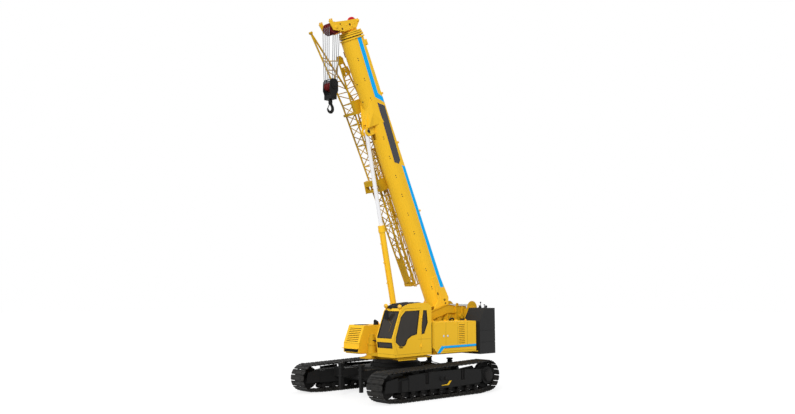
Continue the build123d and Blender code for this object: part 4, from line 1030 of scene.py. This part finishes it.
def closed_ribbon(bm, outline, width, low, high, lift=0.0):
    """Strip that follows a closed outline in XZ."""
    middle = ((outline[0][0] + outline[-1][0]) / 2, (outline[0][1] + outline[-1][1]) / 2)
    ribbon(bm, [middle, *outline, middle], width, low, high, lift=lift)


def draw_shell_rubber(bm):
    draw_pane_frame(bm, SCREEN, 2.0, 2.915)
    draw_pane_frame(bm, CHIN, 1.67, 1.87)
    closed_ribbon(bm, SIDE_WINDOW, 0.018, FACE - 0.016, FACE + 0.002)
    closed_ribbon(bm, FAR_WINDOW, 0.02, CAB_Y[0] - 0.002, CAB_Y[0] + 0.016)
    closed_ribbon(bm, DOOR_OUTLINE, 0.007, FACE - 0.03, FACE - 0.004, lift=-0.004)


drawn("shell_rubber", draw_shell_rubber, black_rubber, "upper")
drawn("door_rubber", lambda bm: closed_ribbon(bm, DOOR_WINDOW, 0.016, FACE - 0.016, FACE + 0.002),
      black_rubber, "door")

CAB_SEAM = 0.006
SHELL_SEAMS = [[(-0.33, 1.47), (0.182, 1.462)], [(1.275, 1.45), (1.462, 1.442)],
               [(-0.3, 1.936), (0.182, 1.94)]]
DOOR_SEAM = [(0.2, 1.94), (0.35, 1.941)]


def draw_cab_seams(bm):
    """Joint lines between the pressed panels of the shell's lower half."""
    for line in SHELL_SEAMS:
        ribbon(bm, line, CAB_SEAM, FACE, FACE + 0.001)
    x = slope_x(CHIN, 1.47)
    prism(bm, [(x + 0.001, 1.467), (x + 0.001, 1.473), (x - 0.01, 1.473), (x - 0.01, 1.467)], *CAB_Y)


def draw_roof_guard(bm):
    """Black sheet that shades the roof pane and the roof's front edge, with raised ribs along it."""
    ribbon(bm, ROOF_LINE, 0.008, CAB_Y[0] + 0.03, CAB_Y[1] - 0.03, lift=0.004)
    for y in (0.8, 1.085, 1.37):
        ribbon(bm, ROOF_LINE, 0.01, y - 0.012, y + 0.012, lift=0.012)


def draw_cab_step(bm):
    """Folded step plate with raised ribs and its two hangers."""
    block(bm, (0.39, 1.2, 1.275), (1.24, 1.47, 1.29), 0.003)
    block(bm, (0.39, 1.455, 1.245), (1.24, 1.47, 1.29), 0.003)
    for i in range(16):
        block(bm, (0.42 + 0.05 * i, 1.22, 1.288), (0.435 + 0.05 * i, 1.44, 1.296), 0.002)
    for x in (0.45, 1.15):
        block(bm, (x, 1.21, 1.285), (x + 0.03, 1.24, 1.305), 0.002)


def draw_wiper(bm):
    """Wiper motor's hub under the screen's upper edge, its arm and the blade."""
    def on_screen(y, z, out=0.018):
        return slope_x(SCREEN, z) + out, y, z
    turned(bm, [(0.03, 0.0), (0.03, 0.03), (0.018, 0.04)], on_screen(0.8, 2.845, 0.0), axis=(0.931, 0, 0.364),
           steps=16)
    arm = [on_screen(0.8, 2.845, 0.03), on_screen(1.0, 2.65), on_screen(1.26, 2.47)]
    blade = [on_screen(y, z, 0.01) for y, z in ((1.27, 2.62), (1.26, 2.47), (1.24, 2.22))]
    pipe(bm, arm, 0.004, bend=0.1, steps=8)
    pipe(bm, blade, 0.004, bend=0.1, steps=6)


def draw_door_fittings(bm):
    """Recessed pull handle with its lock, and a grab bar inside the window's rear edge."""
    block(bm, (1.065, 1.497, 1.672), (1.215, 1.503, 1.745), 0.002)
    pipe(bm, [(x, y, 1.708) for x, y in ((1.085, 1.503), (1.085, 1.53), (1.195, 1.53), (1.195, 1.503))], 0.01,
         bend=0.02, steps=8)
    turned(bm, [(0.014, 0.0), (0.014, 0.006), (0.009, 0.008)], (1.24, FACE, 1.708), steps=14)
    pipe(bm, [(0.3, y, z) for y, z in ((1.448, 2.05), (1.405, 2.05), (1.405, 2.7), (1.448, 2.7))], 0.012,
         bend=0.04, steps=8)


wiper_paint = enamel("wiper_paint", "8a6a1c", "6f5514", roughness=0.5, bump=0.0, dusty=0.0)
drawn("cab_seams", draw_cab_seams, seam_black, "upper")
drawn("door_seam", lambda bm: ribbon(bm, DOOR_SEAM, CAB_SEAM, FACE, FACE + 0.001), seam_black, "door")
drawn("roof_guard", draw_roof_guard, black_rubber, "upper")
drawn("cab_step", draw_cab_step, crane_yellow, "upper")
drawn("wiper", draw_wiper, wiper_paint, "upper", 50)
drawn("door_handle", draw_door_fittings, black_rubber, "door", 40)

# Work lamps: round pressed housings on stalks at the roof's front corners, each with an amber lens.
WORK_LAMPS = [(1.135, 0.72, 3.085), (1.15, 1.44, 3.065)]
LAMP_BOWL = [(0.022, -0.066), (0.05, -0.054), (0.07, -0.026), (0.076, 0.008), (0.07, 0.034), (0.06, 0.04)]
LAMP_LENS = [(0.059, 0.036), (0.05, 0.056), (0.028, 0.068), (0.008, 0.07)]
lens = enamel("lamp_lens", "e9b53c", "d9a02c", roughness=0.12, gloss=0.5, bump=0.02, patch=0.05, dusty=0.0)


def draw_lamp_housings(bm):
    for x, y, z in WORK_LAMPS:
        turned(bm, LAMP_BOWL, (x, y, z), axis="X", steps=28)
        pipe(bm, [(x - 0.04, y, 2.96), (x - 0.04, y, z - 0.055)], 0.014, steps=12)
        block(bm, (x - 0.052, y - 0.022, z - 0.085), (x - 0.028, y + 0.022, z - 0.045), 0.003)


def draw_lenses(bm):
    for place in WORK_LAMPS:
        turned(bm, LAMP_LENS, place, axis="X", steps=28)


drawn("lamp_housings", draw_lamp_housings, crane_yellow, "upper", 50, replaces=["cab_lamps"])
drawn("lamp_lenses", draw_lenses, lens, "upper", 50)

# Mirror: black moulded case on a bent tube that reaches forward over the windscreen's upper edge.
MIRROR = dict(x=(1.337, 1.372), y=(0.895, 1.07), z=(2.635, 2.945))


def draw_mirror_case(bm):
    (y0, y1), (z0, z1) = MIRROR["y"], MIRROR["z"]
    prism(bm, cut_rectangle((y0, z0), (y1, z1), (0.02, 0.03)), *MIRROR["x"], axis="X", bevel=0.006)


def draw_mirror_arm(bm):
    y, top = sum(MIRROR["y"]) / 2, MIRROR["z"][1]
    pipe(bm, [(1.105, y, top + 0.045), (1.355, y, top + 0.045), (1.355, y, top - 0.02)], 0.012)
    rod(bm, (1.125, y, top + 0.045), 0.03, 0.0, 0.012, axis="X", steps=16)


drawn("mirror_case", draw_mirror_case, black_rubber, "upper", replaces=["cab_mirror"])
drawn("mirror_arm", draw_mirror_arm, black_paint, "upper", 50)

# Driver's seat: foam cushions in dark woven cloth on a bolted steel box, with padded armrests, a control
# column on the left and a pedal bar in front.
seat_cloth, tree, shader, place = new_paint("seat_cloth")
threads = add_node(tree, "ShaderNodeTexWave", {"Vector": place, "Scale": 160.0, "Distortion": 1.0})
weave = add_node(tree, "ShaderNodeBump", {"Height": (threads, "Fac"), "Strength": 0.3, "Distance": 0.002})
fill(tree, shader, {"Base Color": mixed(tree, (threads, "Fac"), linear("2c2b2a"), linear("1c1b1b")),
                    "Normal": weave, "Roughness": 0.85})
CUSHIONS = [  # lower and upper corner, and how far the top leans back
    dict(name="seat_cushion", low=(0.25, 0.85, 1.8), high=(0.8, 1.31, 1.945), lean=0.0),
    dict(name="seat_back", low=(0.13, 0.86, 1.9), high=(0.29, 1.3, 2.48), lean=0.08),
    dict(name="head_rest", low=(0.06, 0.96, 2.52), high=(0.17, 1.2, 2.7), lean=0.02),
]


def draw_cushion(bm, low, high, lean, rounds=16, steps=40, fullness=0.42):
    """Closed, crowned pad between two corners, flat in the middle and full at its edges."""
    def swell(value):
        return math.copysign(abs(value) ** fullness, value)

    def point(up, turn):
        at = (swell(math.cos(up)) * swell(math.cos(turn)), swell(math.cos(up)) * swell(math.sin(turn)),
              swell(math.sin(up)))
        x, y, z = ((a + b) / 2 + (b - a) / 2 * along for a, b, along in zip(low, high, at))
        return x - lean * at[2], y, z

    skin(bm, [[point(math.pi * (i / rounds - 0.5), turn) for turn in turns(steps)] for i in range(1, rounds)])


for pad in CUSHIONS:
    cushion = drawn(pad["name"], lambda bm: draw_cushion(bm, pad["low"], pad["high"], pad["lean"]),
                    seat_cloth, "upper", 60)


def draw_seat_frame(bm):
    """Folded seat box, back stay, armrests, control column and pedal bar."""
    block(bm, (0.34, 0.94, 1.429), (0.68, 1.23, 1.62), 0.006)
    block(bm, (0.32, 0.92, 1.62), (0.72, 1.25, 1.8), 0.012)
    block(bm, (0.1, 0.98, 1.83), (0.15, 1.18, 2.56), 0.008)
    for y0, y1 in ((0.762, 0.842), (1.318, 1.398)):
        block(bm, (0.3, y0, 1.985), (0.76, y1, 2.055), 0.016)
        block(bm, (0.5, y0 + 0.02, 1.78), (0.6, y1 - 0.02, 1.99), 0.006)
        block(bm, (0.4, min(y0 + 0.02, 1.2), 1.74), (0.64, max(y1 - 0.02, 0.94), 1.785), 0.004)
        turned(bm, [(0.024, 0.0), (0.012, 0.03), (0.01, 0.15), (0.024, 0.175), (0.02, 0.215)],
               (0.7, (y0 + y1) / 2, 2.05), axis="Z", steps=14)
    block(bm, (1.05, 0.93, 1.428), (1.15, 1.25, 2.09), 0.012)
    block(bm, (0.7, 1.055, 1.43), (1.1, 1.115, 1.478), 0.006)
    for y in (1.0, 1.1):
        block(bm, (0.92, y, 1.47), (0.99, y + 0.07, 1.56), 0.006)


drawn("seat_frame", draw_seat_frame, black_rubber, "upper", 30, replaces=["cab_seat"])


# --------------------------------------------------------------------------------------------- boom
# Five telescoping sections of bent and welded plate, flat on top with a round belly, each with a
# collar at its mouth. Blue bands and a grey field are painted on both sides of the base section.
BOOM_ANGLE = math.radians(65.5)
boom_place = Matrix.Translation((FOOT[0], 0, FOOT[1])) @ Matrix.Rotation(-BOOM_ANGLE, 4, "Y")
SIDE_Y = 0.36             # flat side of the base section
FOOT_Y = 0.368             # outer face of the foot's side plate
finish(crane_yellow, "boom_base", *("boom_section_%d" % i for i in (2, 3, 4, 5)))
patch_grey = enamel("patch_grey", "4a4a4c", "414143", roughness=0.4, bump=0.0, dusty=0.0)
patch_edge = enamel("patch_edge", "1d2a66", "18235a", roughness=0.4, bump=0.0, dusty=0.0)
UPPER_BAND = [(10.835, 0.515), (10.835, 0.7), (8.7, 0.65), (8.52, 0.818), (8.3, 0.818), (8.61, 0.455)]
LOWER_BAND = [(5.906, 0.69), (5.82, 0.82), (1.5, 0.82), (1.5, 0.656)]
FOOT_BAND = [(1.51, 0.656), (1.51, 0.796), (1.18, 0.828), (0.95, 0.828), (1.01, 0.65)]
PATCH = [(8.365, 0.49), (8.172, 0.779), (6.11, 0.69), (6.0, 0.56), (6.12, 0.4)]


def on_boom(name, draw, material, smooth_below=None):
    """Piece drawn along the level base section."""
    drawn(name, draw, material, "boom", smooth_below, place=boom_place)


def draw_boom_stripes(bm):
    for outline, face in ((UPPER_BAND, SIDE_Y), (LOWER_BAND, SIDE_Y), (FOOT_BAND, FOOT_Y)):
        plates(bm, outline, face, 0.002)


def draw_boom_patch_edge(bm):
    for sign in (1, -1):
        ribbon(bm, [PATCH[1], PATCH[0], PATCH[4]], 0.022, sign * SIDE_Y, sign * (SIDE_Y + 0.003))


on_boom("boom_stripes", draw_boom_stripes, stripe_blue)
on_boom("boom_patch", lambda bm: plates(bm, PATCH, SIDE_Y, 0.002), patch_grey)
on_boom("boom_patch_edge", draw_boom_patch_edge, patch_edge)

# Rows of bolt pairs hold the slide pads, a weld line rounds the belly behind the derrick bracket, dark
# plates at the foot are painted shade where the foot pin and two lightening holes show dark, and dark bands
# fill the gaps between the collars: the wiper seals, widened into painted shade on the collars' lower faces.
BELLY = dict(w=0.36, side=0.496)
PAD_BOLT_X = [1.156 + 0.743 * i for i in range(13)]
PAD_BOLT = [(0.016, -0.002), (0.016, 0.01), (0.009, 0.014)]
BELLY_BOLT = [(0.022, -0.002), (0.022, 0.012), (0.012, 0.018)]
WELD_HALF = [(7.5, 0.33), (7.345, 0.308), (7.128, 0.232), (6.99, 0.12), (6.942, 0.0)]
SEAL_SHADE_DEEP = 0.001          # how far a seal-and-shade band stands off the section it rounds
SEAL_SHADES = [  # seal and painted shade under a collar: the section, how far the band stands out, where it lies
    dict(body="boom_2", w=0.322, top=0.822, side=0.512, out=0.052, x=(10.88, 10.8995)),
    dict(body="boom_3", w=0.288, top=0.786, side=0.516, out=0.074, x=(10.966, 10.9795)),
    dict(body="boom_4", w=0.254, top=0.75, side=0.52, out=0.096, x=(11.036, 11.0455)),
    dict(body="boom_5", w=0.22, top=0.714, side=0.524, out=0.034, x=(11.0915, 11.0995)),
]


def belly_point(x, y, lift=0.0):
    reach = BELLY["w"] + lift
    y *= reach / BELLY["w"]
    return Vector((x, y, BELLY["side"] - math.sqrt(max(0.0, reach ** 2 - y ** 2))))


def draw_pad_bolts(bm):
    for x in PAD_BOLT_X:
        for sign in (-1, 1):
            centre = belly_point(x, sign * 0.296)
            outward = Vector((0, centre.y, centre.z - BELLY["side"])).normalized()
            for step in (-0.04, 0.04):
                turned(bm, PAD_BOLT, centre + Vector((step, 0, 0)), axis=tuple(outward), steps=8)
    for x in (8.562, 9.225):
        turned(bm, BELLY_BOLT, belly_point(x, 0.0), axis=(0, 0, -1), steps=10)


def oval(x, z, half_x, half_z, step):
    """Points round an ellipse, a number of degrees apart."""
    return [(x + half_x * math.cos(math.radians(a)), z + half_z * math.sin(math.radians(a)))
            for a in range(0, 360, step)]


# Dark plates on the foot's side plates, painted shade where the foot pin and two lightening holes show dark.
def draw_foot_hole_shade(bm):
    for outline in (oval(0.848, 0.43, 0.06, 0.036, 20),
                    [(0.445, 0.63), (0.54, 0.61), (0.53, 0.7), (0.45, 0.715)],
                    [(0.325, 0.625), (0.385, 0.612), (0.385, 0.675), (0.33, 0.69)]):
        plates(bm, outline, 0.366, 0.0045)


def draw_foot_plates(bm):
    """Doubler round the foot pin, and the welded-on edges of the foot's side plate."""
    caps(bm, [(0.15, 0.0), (0.15, 0.014), (0.09, 0.016)], [(0, 0)], 0.367, 32)
    for sign in (1, -1):
        ribbon(bm, [(-0.06, 0.42), (0.62, 0.5), (1.45, 0.52)], 0.014, sign * 0.367, sign * 0.375)
        ribbon(bm, [(0.2, 0.745), (0.9, 0.56)], 0.01, sign * 0.367, sign * 0.375)


def draw_weld_line(bm):
    points = [belly_point(x, -y, 0.001) for x, y in WELD_HALF]
    pipe(bm, points + [belly_point(x, y, 0.001) for x, y in WELD_HALF[-2::-1]], 0.004, steps=6)


def draw_seal_shade(bm, seal_shade):
    """Dark band round a moving section, just below its collar: its wiper seal, widened into painted shade."""
    def band(x, grow):
        w, top, side = seal_shade["w"] + grow, seal_shade["top"] + grow, seal_shade["side"]
        low, in_w = top - 0.04, w - 0.04
        outline = [(w, side), (w, low), (in_w, top), (-in_w, top), (-w, low), (-w, side)]
        outline += [(-w * math.cos(math.radians(a)), side - w * math.sin(math.radians(a)))
                    for a in range(15, 180, 15)]
        return [(x, y, z) for y, z in outline]

    (low, high), out = seal_shade["x"], seal_shade["out"]
    skin(bm, [band(low, out), band(high, out), band(high, SEAL_SHADE_DEEP), band(low, SEAL_SHADE_DEEP)], closed=True)


def draw_top_fittings(bm):
    """Rope guide box near the boom's mouth and the small rope tabs along its top edge."""
    block(bm, (10.46, 0.245, 0.862), (10.68, 0.365, 0.935), 0.006)
    block(bm, (10.5, 0.355, 0.8), (10.64, 0.372, 0.87), 0.004)
    for x in (8.6, 6.7, 4.0):
        block(bm, (x, 0.3, 0.858), (x + 0.09, 0.33, 0.905), 0.004)
        block(bm, (x + 0.01, 0.27, 0.895), (x + 0.08, 0.36, 0.907), 0.003)


for seal_shade in SEAL_SHADES:
    drawn("wiper_seal_" + seal_shade["body"], lambda bm: draw_seal_shade(bm, seal_shade), black_rubber, seal_shade["body"],
          place=boom_place)
on_boom("pad_bolts", draw_pad_bolts, cast_iron, 40)
on_boom("foot_marks", draw_foot_hole_shade, seam_black, 40)
on_boom("foot_plates", draw_foot_plates, crane_yellow, 40)
on_boom("belly_weld", draw_weld_line, crane_yellow, 40)
on_boom("top_fittings", draw_top_fittings, crane_yellow, 40)


# ---------------------------------------------------------------------------------- boom head and jib
# Welded head plates with the hoist rope's sheaves between them, and the two lengths of the stowed fly
# jib, a lattice of round tubes with flat gussets. The jib and its carriers are painted a darker yellow than
# the boom, as painted shade on the boom's shaded side.
# A darker copy of the boom's yellow: painted shade on the jib and its carriers, on the boom's shaded side.
jib_yellow = enamel("jib_yellow", "d6aa1e", "9a7812", roughness=0.42, bump=0.05, strength=0.7, dusty=0.0)
red_nylon = enamel("red_nylon", "6f1b1d", "551214", roughness=0.5, bump=0.05, dusty=0.0)
bright_red = enamel("bright_red_nylon", "d2243a", "b81c30", roughness=0.5, bump=0.05, dusty=0.0)
finish(crane_yellow, "boom_head")
finish(jib_yellow, "jib_main", "jib_extension", "jib_mounts")
BLOCK = dict(x=3.12162, z=10.72)      # the hook block's sheave pin, hanging plumb
HEAD_Y = 0.3                         # outer face of the head's side plates
SHEAVE_SETS = [  # grooved wheels, in level-boom coordinates or hanging plumb: middle of each wheel in Y
    dict(node="front_sheaves", body="tip_sheaves", x=11.37, z=-0.227, r=0.215, y=(-0.18, -0.06, 0.06, 0.18),
         half=0.03, colour=red_nylon, place=boom_place),
    dict(node="rear_sheave", body="top_sheave", x=11.395, z=0.835, r=0.2, y=(0.0,), half=0.03,
         colour=bright_red, place=boom_place),
    dict(node="block_sheaves", body="hanging_block", **BLOCK, r=0.165, y=(-0.135, -0.045, 0.045, 0.135),
         half=0.025, colour=red_nylon, place=None),
]
SHEAVE_BORE = 0.046


def draw_sheaves(bm, wheels):
    """Cast nylon wheels with a rope groove in the rim, a dished web and a hub bored for the pin."""
    r, half = wheels["r"], wheels["half"]
    ring = [(SHEAVE_BORE, -half), (0.095, -half), (0.105, -half * 0.4), (r - 0.055, -half * 0.4),
            (r - 0.045, -half * 0.9), (r, -half * 0.9), (r - 0.006, -half * 0.5), (r - 0.026, 0.0)]
    ring += [(radius, -run) for radius, run in ring[-2::-1]]
    for y in wheels["y"]:
        skin(bm, [[(wheels["x"] + radius * math.cos(t), y + run, wheels["z"] + radius * math.sin(t))
                   for t in turns(36)] for radius, run in ring], closed=True)


for wheels in SHEAVE_SETS:
    drawn(wheels["node"] + "_grooved", lambda bm: draw_sheaves(bm, wheels), wheels["colour"], wheels["body"],
          30, replaces=[wheels["node"]], place=wheels["place"])


def draw_head_fittings(bm):
    """Pin ends with their keeper plates, and bolt heads, on the head's two side plates."""
    for x, z, r in ((11.37, -0.227, 0.062), (11.395, 0.835, 0.05), (11.26, 0.48, 0.04)):
        caps(bm, [(r, 0.0), (r, 0.012), (r - 0.012, 0.02)], [(x, z)], HEAD_Y, 20)
        for sign in (1, -1):
            block(bm, (x - 0.075, sign * HEAD_Y, z + 0.03), (x + 0.075, sign * (HEAD_Y + 0.01), z + 0.052))
    caps(bm, [(0.02, 0.0), (0.02, 0.012), (0.012, 0.016)], [
        (11.2, 0.15), (11.2, 0.33), (11.2, 0.56), (11.34, 0.25), (11.4, 0.02), (11.33, 0.65)],
        HEAD_Y, 8)


# Dark discs on the head's side plates, painted shade inside its holes.
def draw_head_hole_shade(bm):
    for x, z, r in ((11.33, 0.42, 0.045), (11.25, 0.01, 0.04), (11.43, -0.02, 0.03)):
        plates(bm, oval(x, z, r, r, 24), HEAD_Y - 0.0005, 0.002)


def draw_jib_fittings(bm):
    """Latch blocks, wheel and pin bosses at the jib's two ends and on its carriers."""
    for y in (-0.985, -0.7):
        rod(bm, (1.275, y, 0.296), 0.045, -0.055, 0.055, steps=16)
    for x, z in ((10.15, 0.06), (10.33, 0.06), (9.72, 0.3), (9.87, 0.18)):
        rod(bm, (x, -0.446, z), 0.024, -0.05, 0.05, steps=10)
    rod(bm, (11.48, -1.01, -0.33), 0.05, -0.06, 0.06, steps=16)
    for x in (5.25, 5.54, 8.245):
        block(bm, (x - 0.03, -0.48, 0.06), (x + 0.03, -0.4, 0.13), 0.006)
        block(bm, (x - 0.02, -0.96, 0.085), (x + 0.02, -0.9, 0.115), 0.004)


def draw_jib_reflector(bm):
    block(bm, (10.27, -0.352, 0.29), (10.48, -0.335, 0.33), 0.003)


drawn("head_fittings", draw_head_fittings, crane_yellow, "boom_5", 40, place=boom_place)
drawn("head_holes", draw_head_hole_shade, seam_black, "boom_5", place=boom_place)
on_boom("jib_fittings", draw_jib_fittings, jib_yellow, 40)
on_boom("jib_reflector", draw_jib_reflector, red_nylon)


# ------------------------------------------------------------------------- hook block, hook, cylinder
# Black welded block with round cheeks, a forged single hook with a spring latch under it, steel rope
# falls, and the derrick cylinder with its chromed rod, gland, oil lines and pin ends.
rope = enamel("fall_rope", "83868b", "4f5256", roughness=0.45, metal=0.2, bump=0.3, grain_size=0.01,
              dusty=0.0)
finish(rope, "hoist_falls")
finish(black_paint, "hook_block")
CHEEK_Y = 0.204            # outer face of the block's cheeks
HOOK_Z = BLOCK["z"] - 0.64
HOOK_SPINE = [  # middle of the forging: x and z from the shank's foot, and its radius
    (0.0, 0.06, 0.052), (-0.02, 0.01, 0.052), (-0.062, -0.04, 0.054), (-0.096, -0.1, 0.058),
    (-0.104, -0.165, 0.06), (-0.086, -0.228, 0.06), (-0.045, -0.276, 0.058), (0.01, -0.288, 0.054),
    (0.066, -0.268, 0.047), (0.104, -0.224, 0.038), (0.118, -0.178, 0.028), (0.122, -0.15, 0.012),
]
HOOK_FLAT = 0.72           # the forging's width over its depth


def draw_block_fittings(bm):
    """Pin ends, keeper plates, bolts, rope guards and the weight plates bolted to the cheeks."""
    x, z = BLOCK["x"], BLOCK["z"]
    caps(bm, [(0.13, 0.0), (0.13, 0.016), (0.118, 0.02)], [(x, z)], CHEEK_Y, 28)
    caps(bm, [(0.062, 0.0), (0.062, 0.01), (0.05, 0.016)], [(x, z)], CHEEK_Y + 0.018, 20)
    caps(bm, [(0.012, 0.0), (0.012, 0.01)], [(x + 0.095 * math.cos(t), z + 0.095 * math.sin(t))
                                              for t in turns(6, math.radians(30))], CHEEK_Y + 0.018, 6)
    caps(bm, [(0.016, 0.0), (0.016, 0.012)], [(x + dx, z + dz) for dx, dz in (
        (-0.1, 0.19), (0.1, 0.19), (-0.12, -0.2), (0.12, -0.2), (0.0, -0.33), (0.0, -0.43))], CHEEK_Y, 6)
    for y in (CHEEK_Y, -CHEEK_Y):
        block(bm, (x - 0.085, y, z - 0.47), (x + 0.085, y + math.copysign(0.012, y), z - 0.32), 0.004)
    for dx in (-0.14, 0.14):
        rod(bm, (x + dx, 0.0, z + 0.205), 0.014, -0.175, 0.175, steps=10)


def draw_hook(bm):
    """Forged hook: a round section swept down the back, round the bowl and up to a rounded tip."""
    centre = Vector((BLOCK["x"], 0, HOOK_Z))
    rings = []
    for i, (px, pz, radius) in enumerate(HOOK_SPINE):
        before, after = HOOK_SPINE[max(i - 1, 0)], HOOK_SPINE[min(i + 1, len(HOOK_SPINE) - 1)]
        way = Vector((after[0] - before[0], 0, after[1] - before[1])).normalized()
        middle = centre + Vector((px, 0, pz))
        out, wide = Vector((way.z, 0, -way.x)) * radius, Vector((0, radius * HOOK_FLAT, 0))
        rings.append([middle + out * math.cos(t) + wide * math.sin(t) for t in turns(16)])
    skin(bm, rings)
    turned(bm, [(0.052, -0.02), (0.056, 0.0), (0.072, 0.02), (0.072, 0.11), (0.06, 0.14), (0.045, 0.15),
                (0.045, 0.37)], centre, axis="Z", steps=24)
    rod(bm, centre, 0.068, 0.33, 0.39, axis="Z", steps=6)


def draw_latch(bm):
    """Sheet-steel spring latch across the hook's throat, on a cross pin."""
    x, z = BLOCK["x"], HOOK_Z
    prism(bm, [(x + 0.03, z - 0.01), (x + 0.05, z - 0.004), (x + 0.118, z - 0.15), (x + 0.1, z - 0.156)],
          -0.016, 0.016, bevel=0.002)
    rod(bm, (x + 0.036, 0.0, z - 0.004), 0.012, -0.03, 0.03, steps=10)


drawn("block_fittings", draw_block_fittings, black_paint, "hanging_block", 40)
drawn("hook_forging", draw_hook, black_paint, "swivel_hook", 60, replaces=["hook"])
drawn("hook_latch", draw_latch, roller_steel, "swivel_hook", 40)

# Derrick cylinder, drawn along its own line from the foot pin up to the eye pin.
chrome = enamel("rod_chrome", "f2f2f4", "dcdce0", roughness=0.1, metal=0.35, gloss=0.5, bump=0.0, dusty=0.0)
finish(crane_yellow, "cylinder_barrel")
finish(chrome, "cylinder_rod")
ram_start, ram_end = Vector((RAM_FOOT[0], 0, RAM_FOOT[1])), Vector((1.44953, 0, 9.33319))
ram_way = (ram_end - ram_start).normalized()
ram_front = Vector((ram_way.z, 0, -ram_way.x))


def draw_barrel_fittings(bm):
    """Bands round the gland and the foot end, the oil lines and their clips."""
    def at(run, out=0.0, y=0.0):
        return ram_start + ram_way * run + ram_front * out + Vector((0, y, 0))

    for inner, outer, low, high in ((0.122, 0.134, 3.8, 3.91), (0.108, 0.114, 0.42, 0.45)):
        skin(bm, [[at(run, radius * math.cos(t), radius * math.sin(t)) for t in turns(40)]
                  for radius, run in ((inner, low), (outer, low), (outer, high), (inner, high))], closed=True)
    for y, top in ((0.03, 3.7), (-0.03, 0.8)):
        pipe(bm, [at(0.55, 0.14, y), at(top, 0.14, y), at(top + 0.06, 0.105, y)], 0.014, bend=0.03)
        pipe(bm, [at(0.55, 0.14, y), at(0.49, 0.1, y)], 0.014)
    for run in (1.2, 1.95, 2.7, 3.4):
        rod(bm, at(run, 0.128), 0.02, -0.045, 0.045, steps=8)


def draw_eye_pin(bm):
    """Ends of the pin that holds the rod to the boom's bracket, with two screws on each side."""
    caps(bm, [(0.06, 0.0), (0.06, 0.012), (0.05, 0.02)], [(7.52, -0.144)], 0.12, 24)
    caps(bm, [(0.016, 0.0), (0.016, 0.02)], [(7.6, -0.12), (7.44, -0.12)], 0.12, 6)


drawn("barrel_fittings", draw_barrel_fittings, crane_yellow, "derrick_barrel", 40)
on_boom("eye_pin_ends", draw_eye_pin, cast_iron, 40)
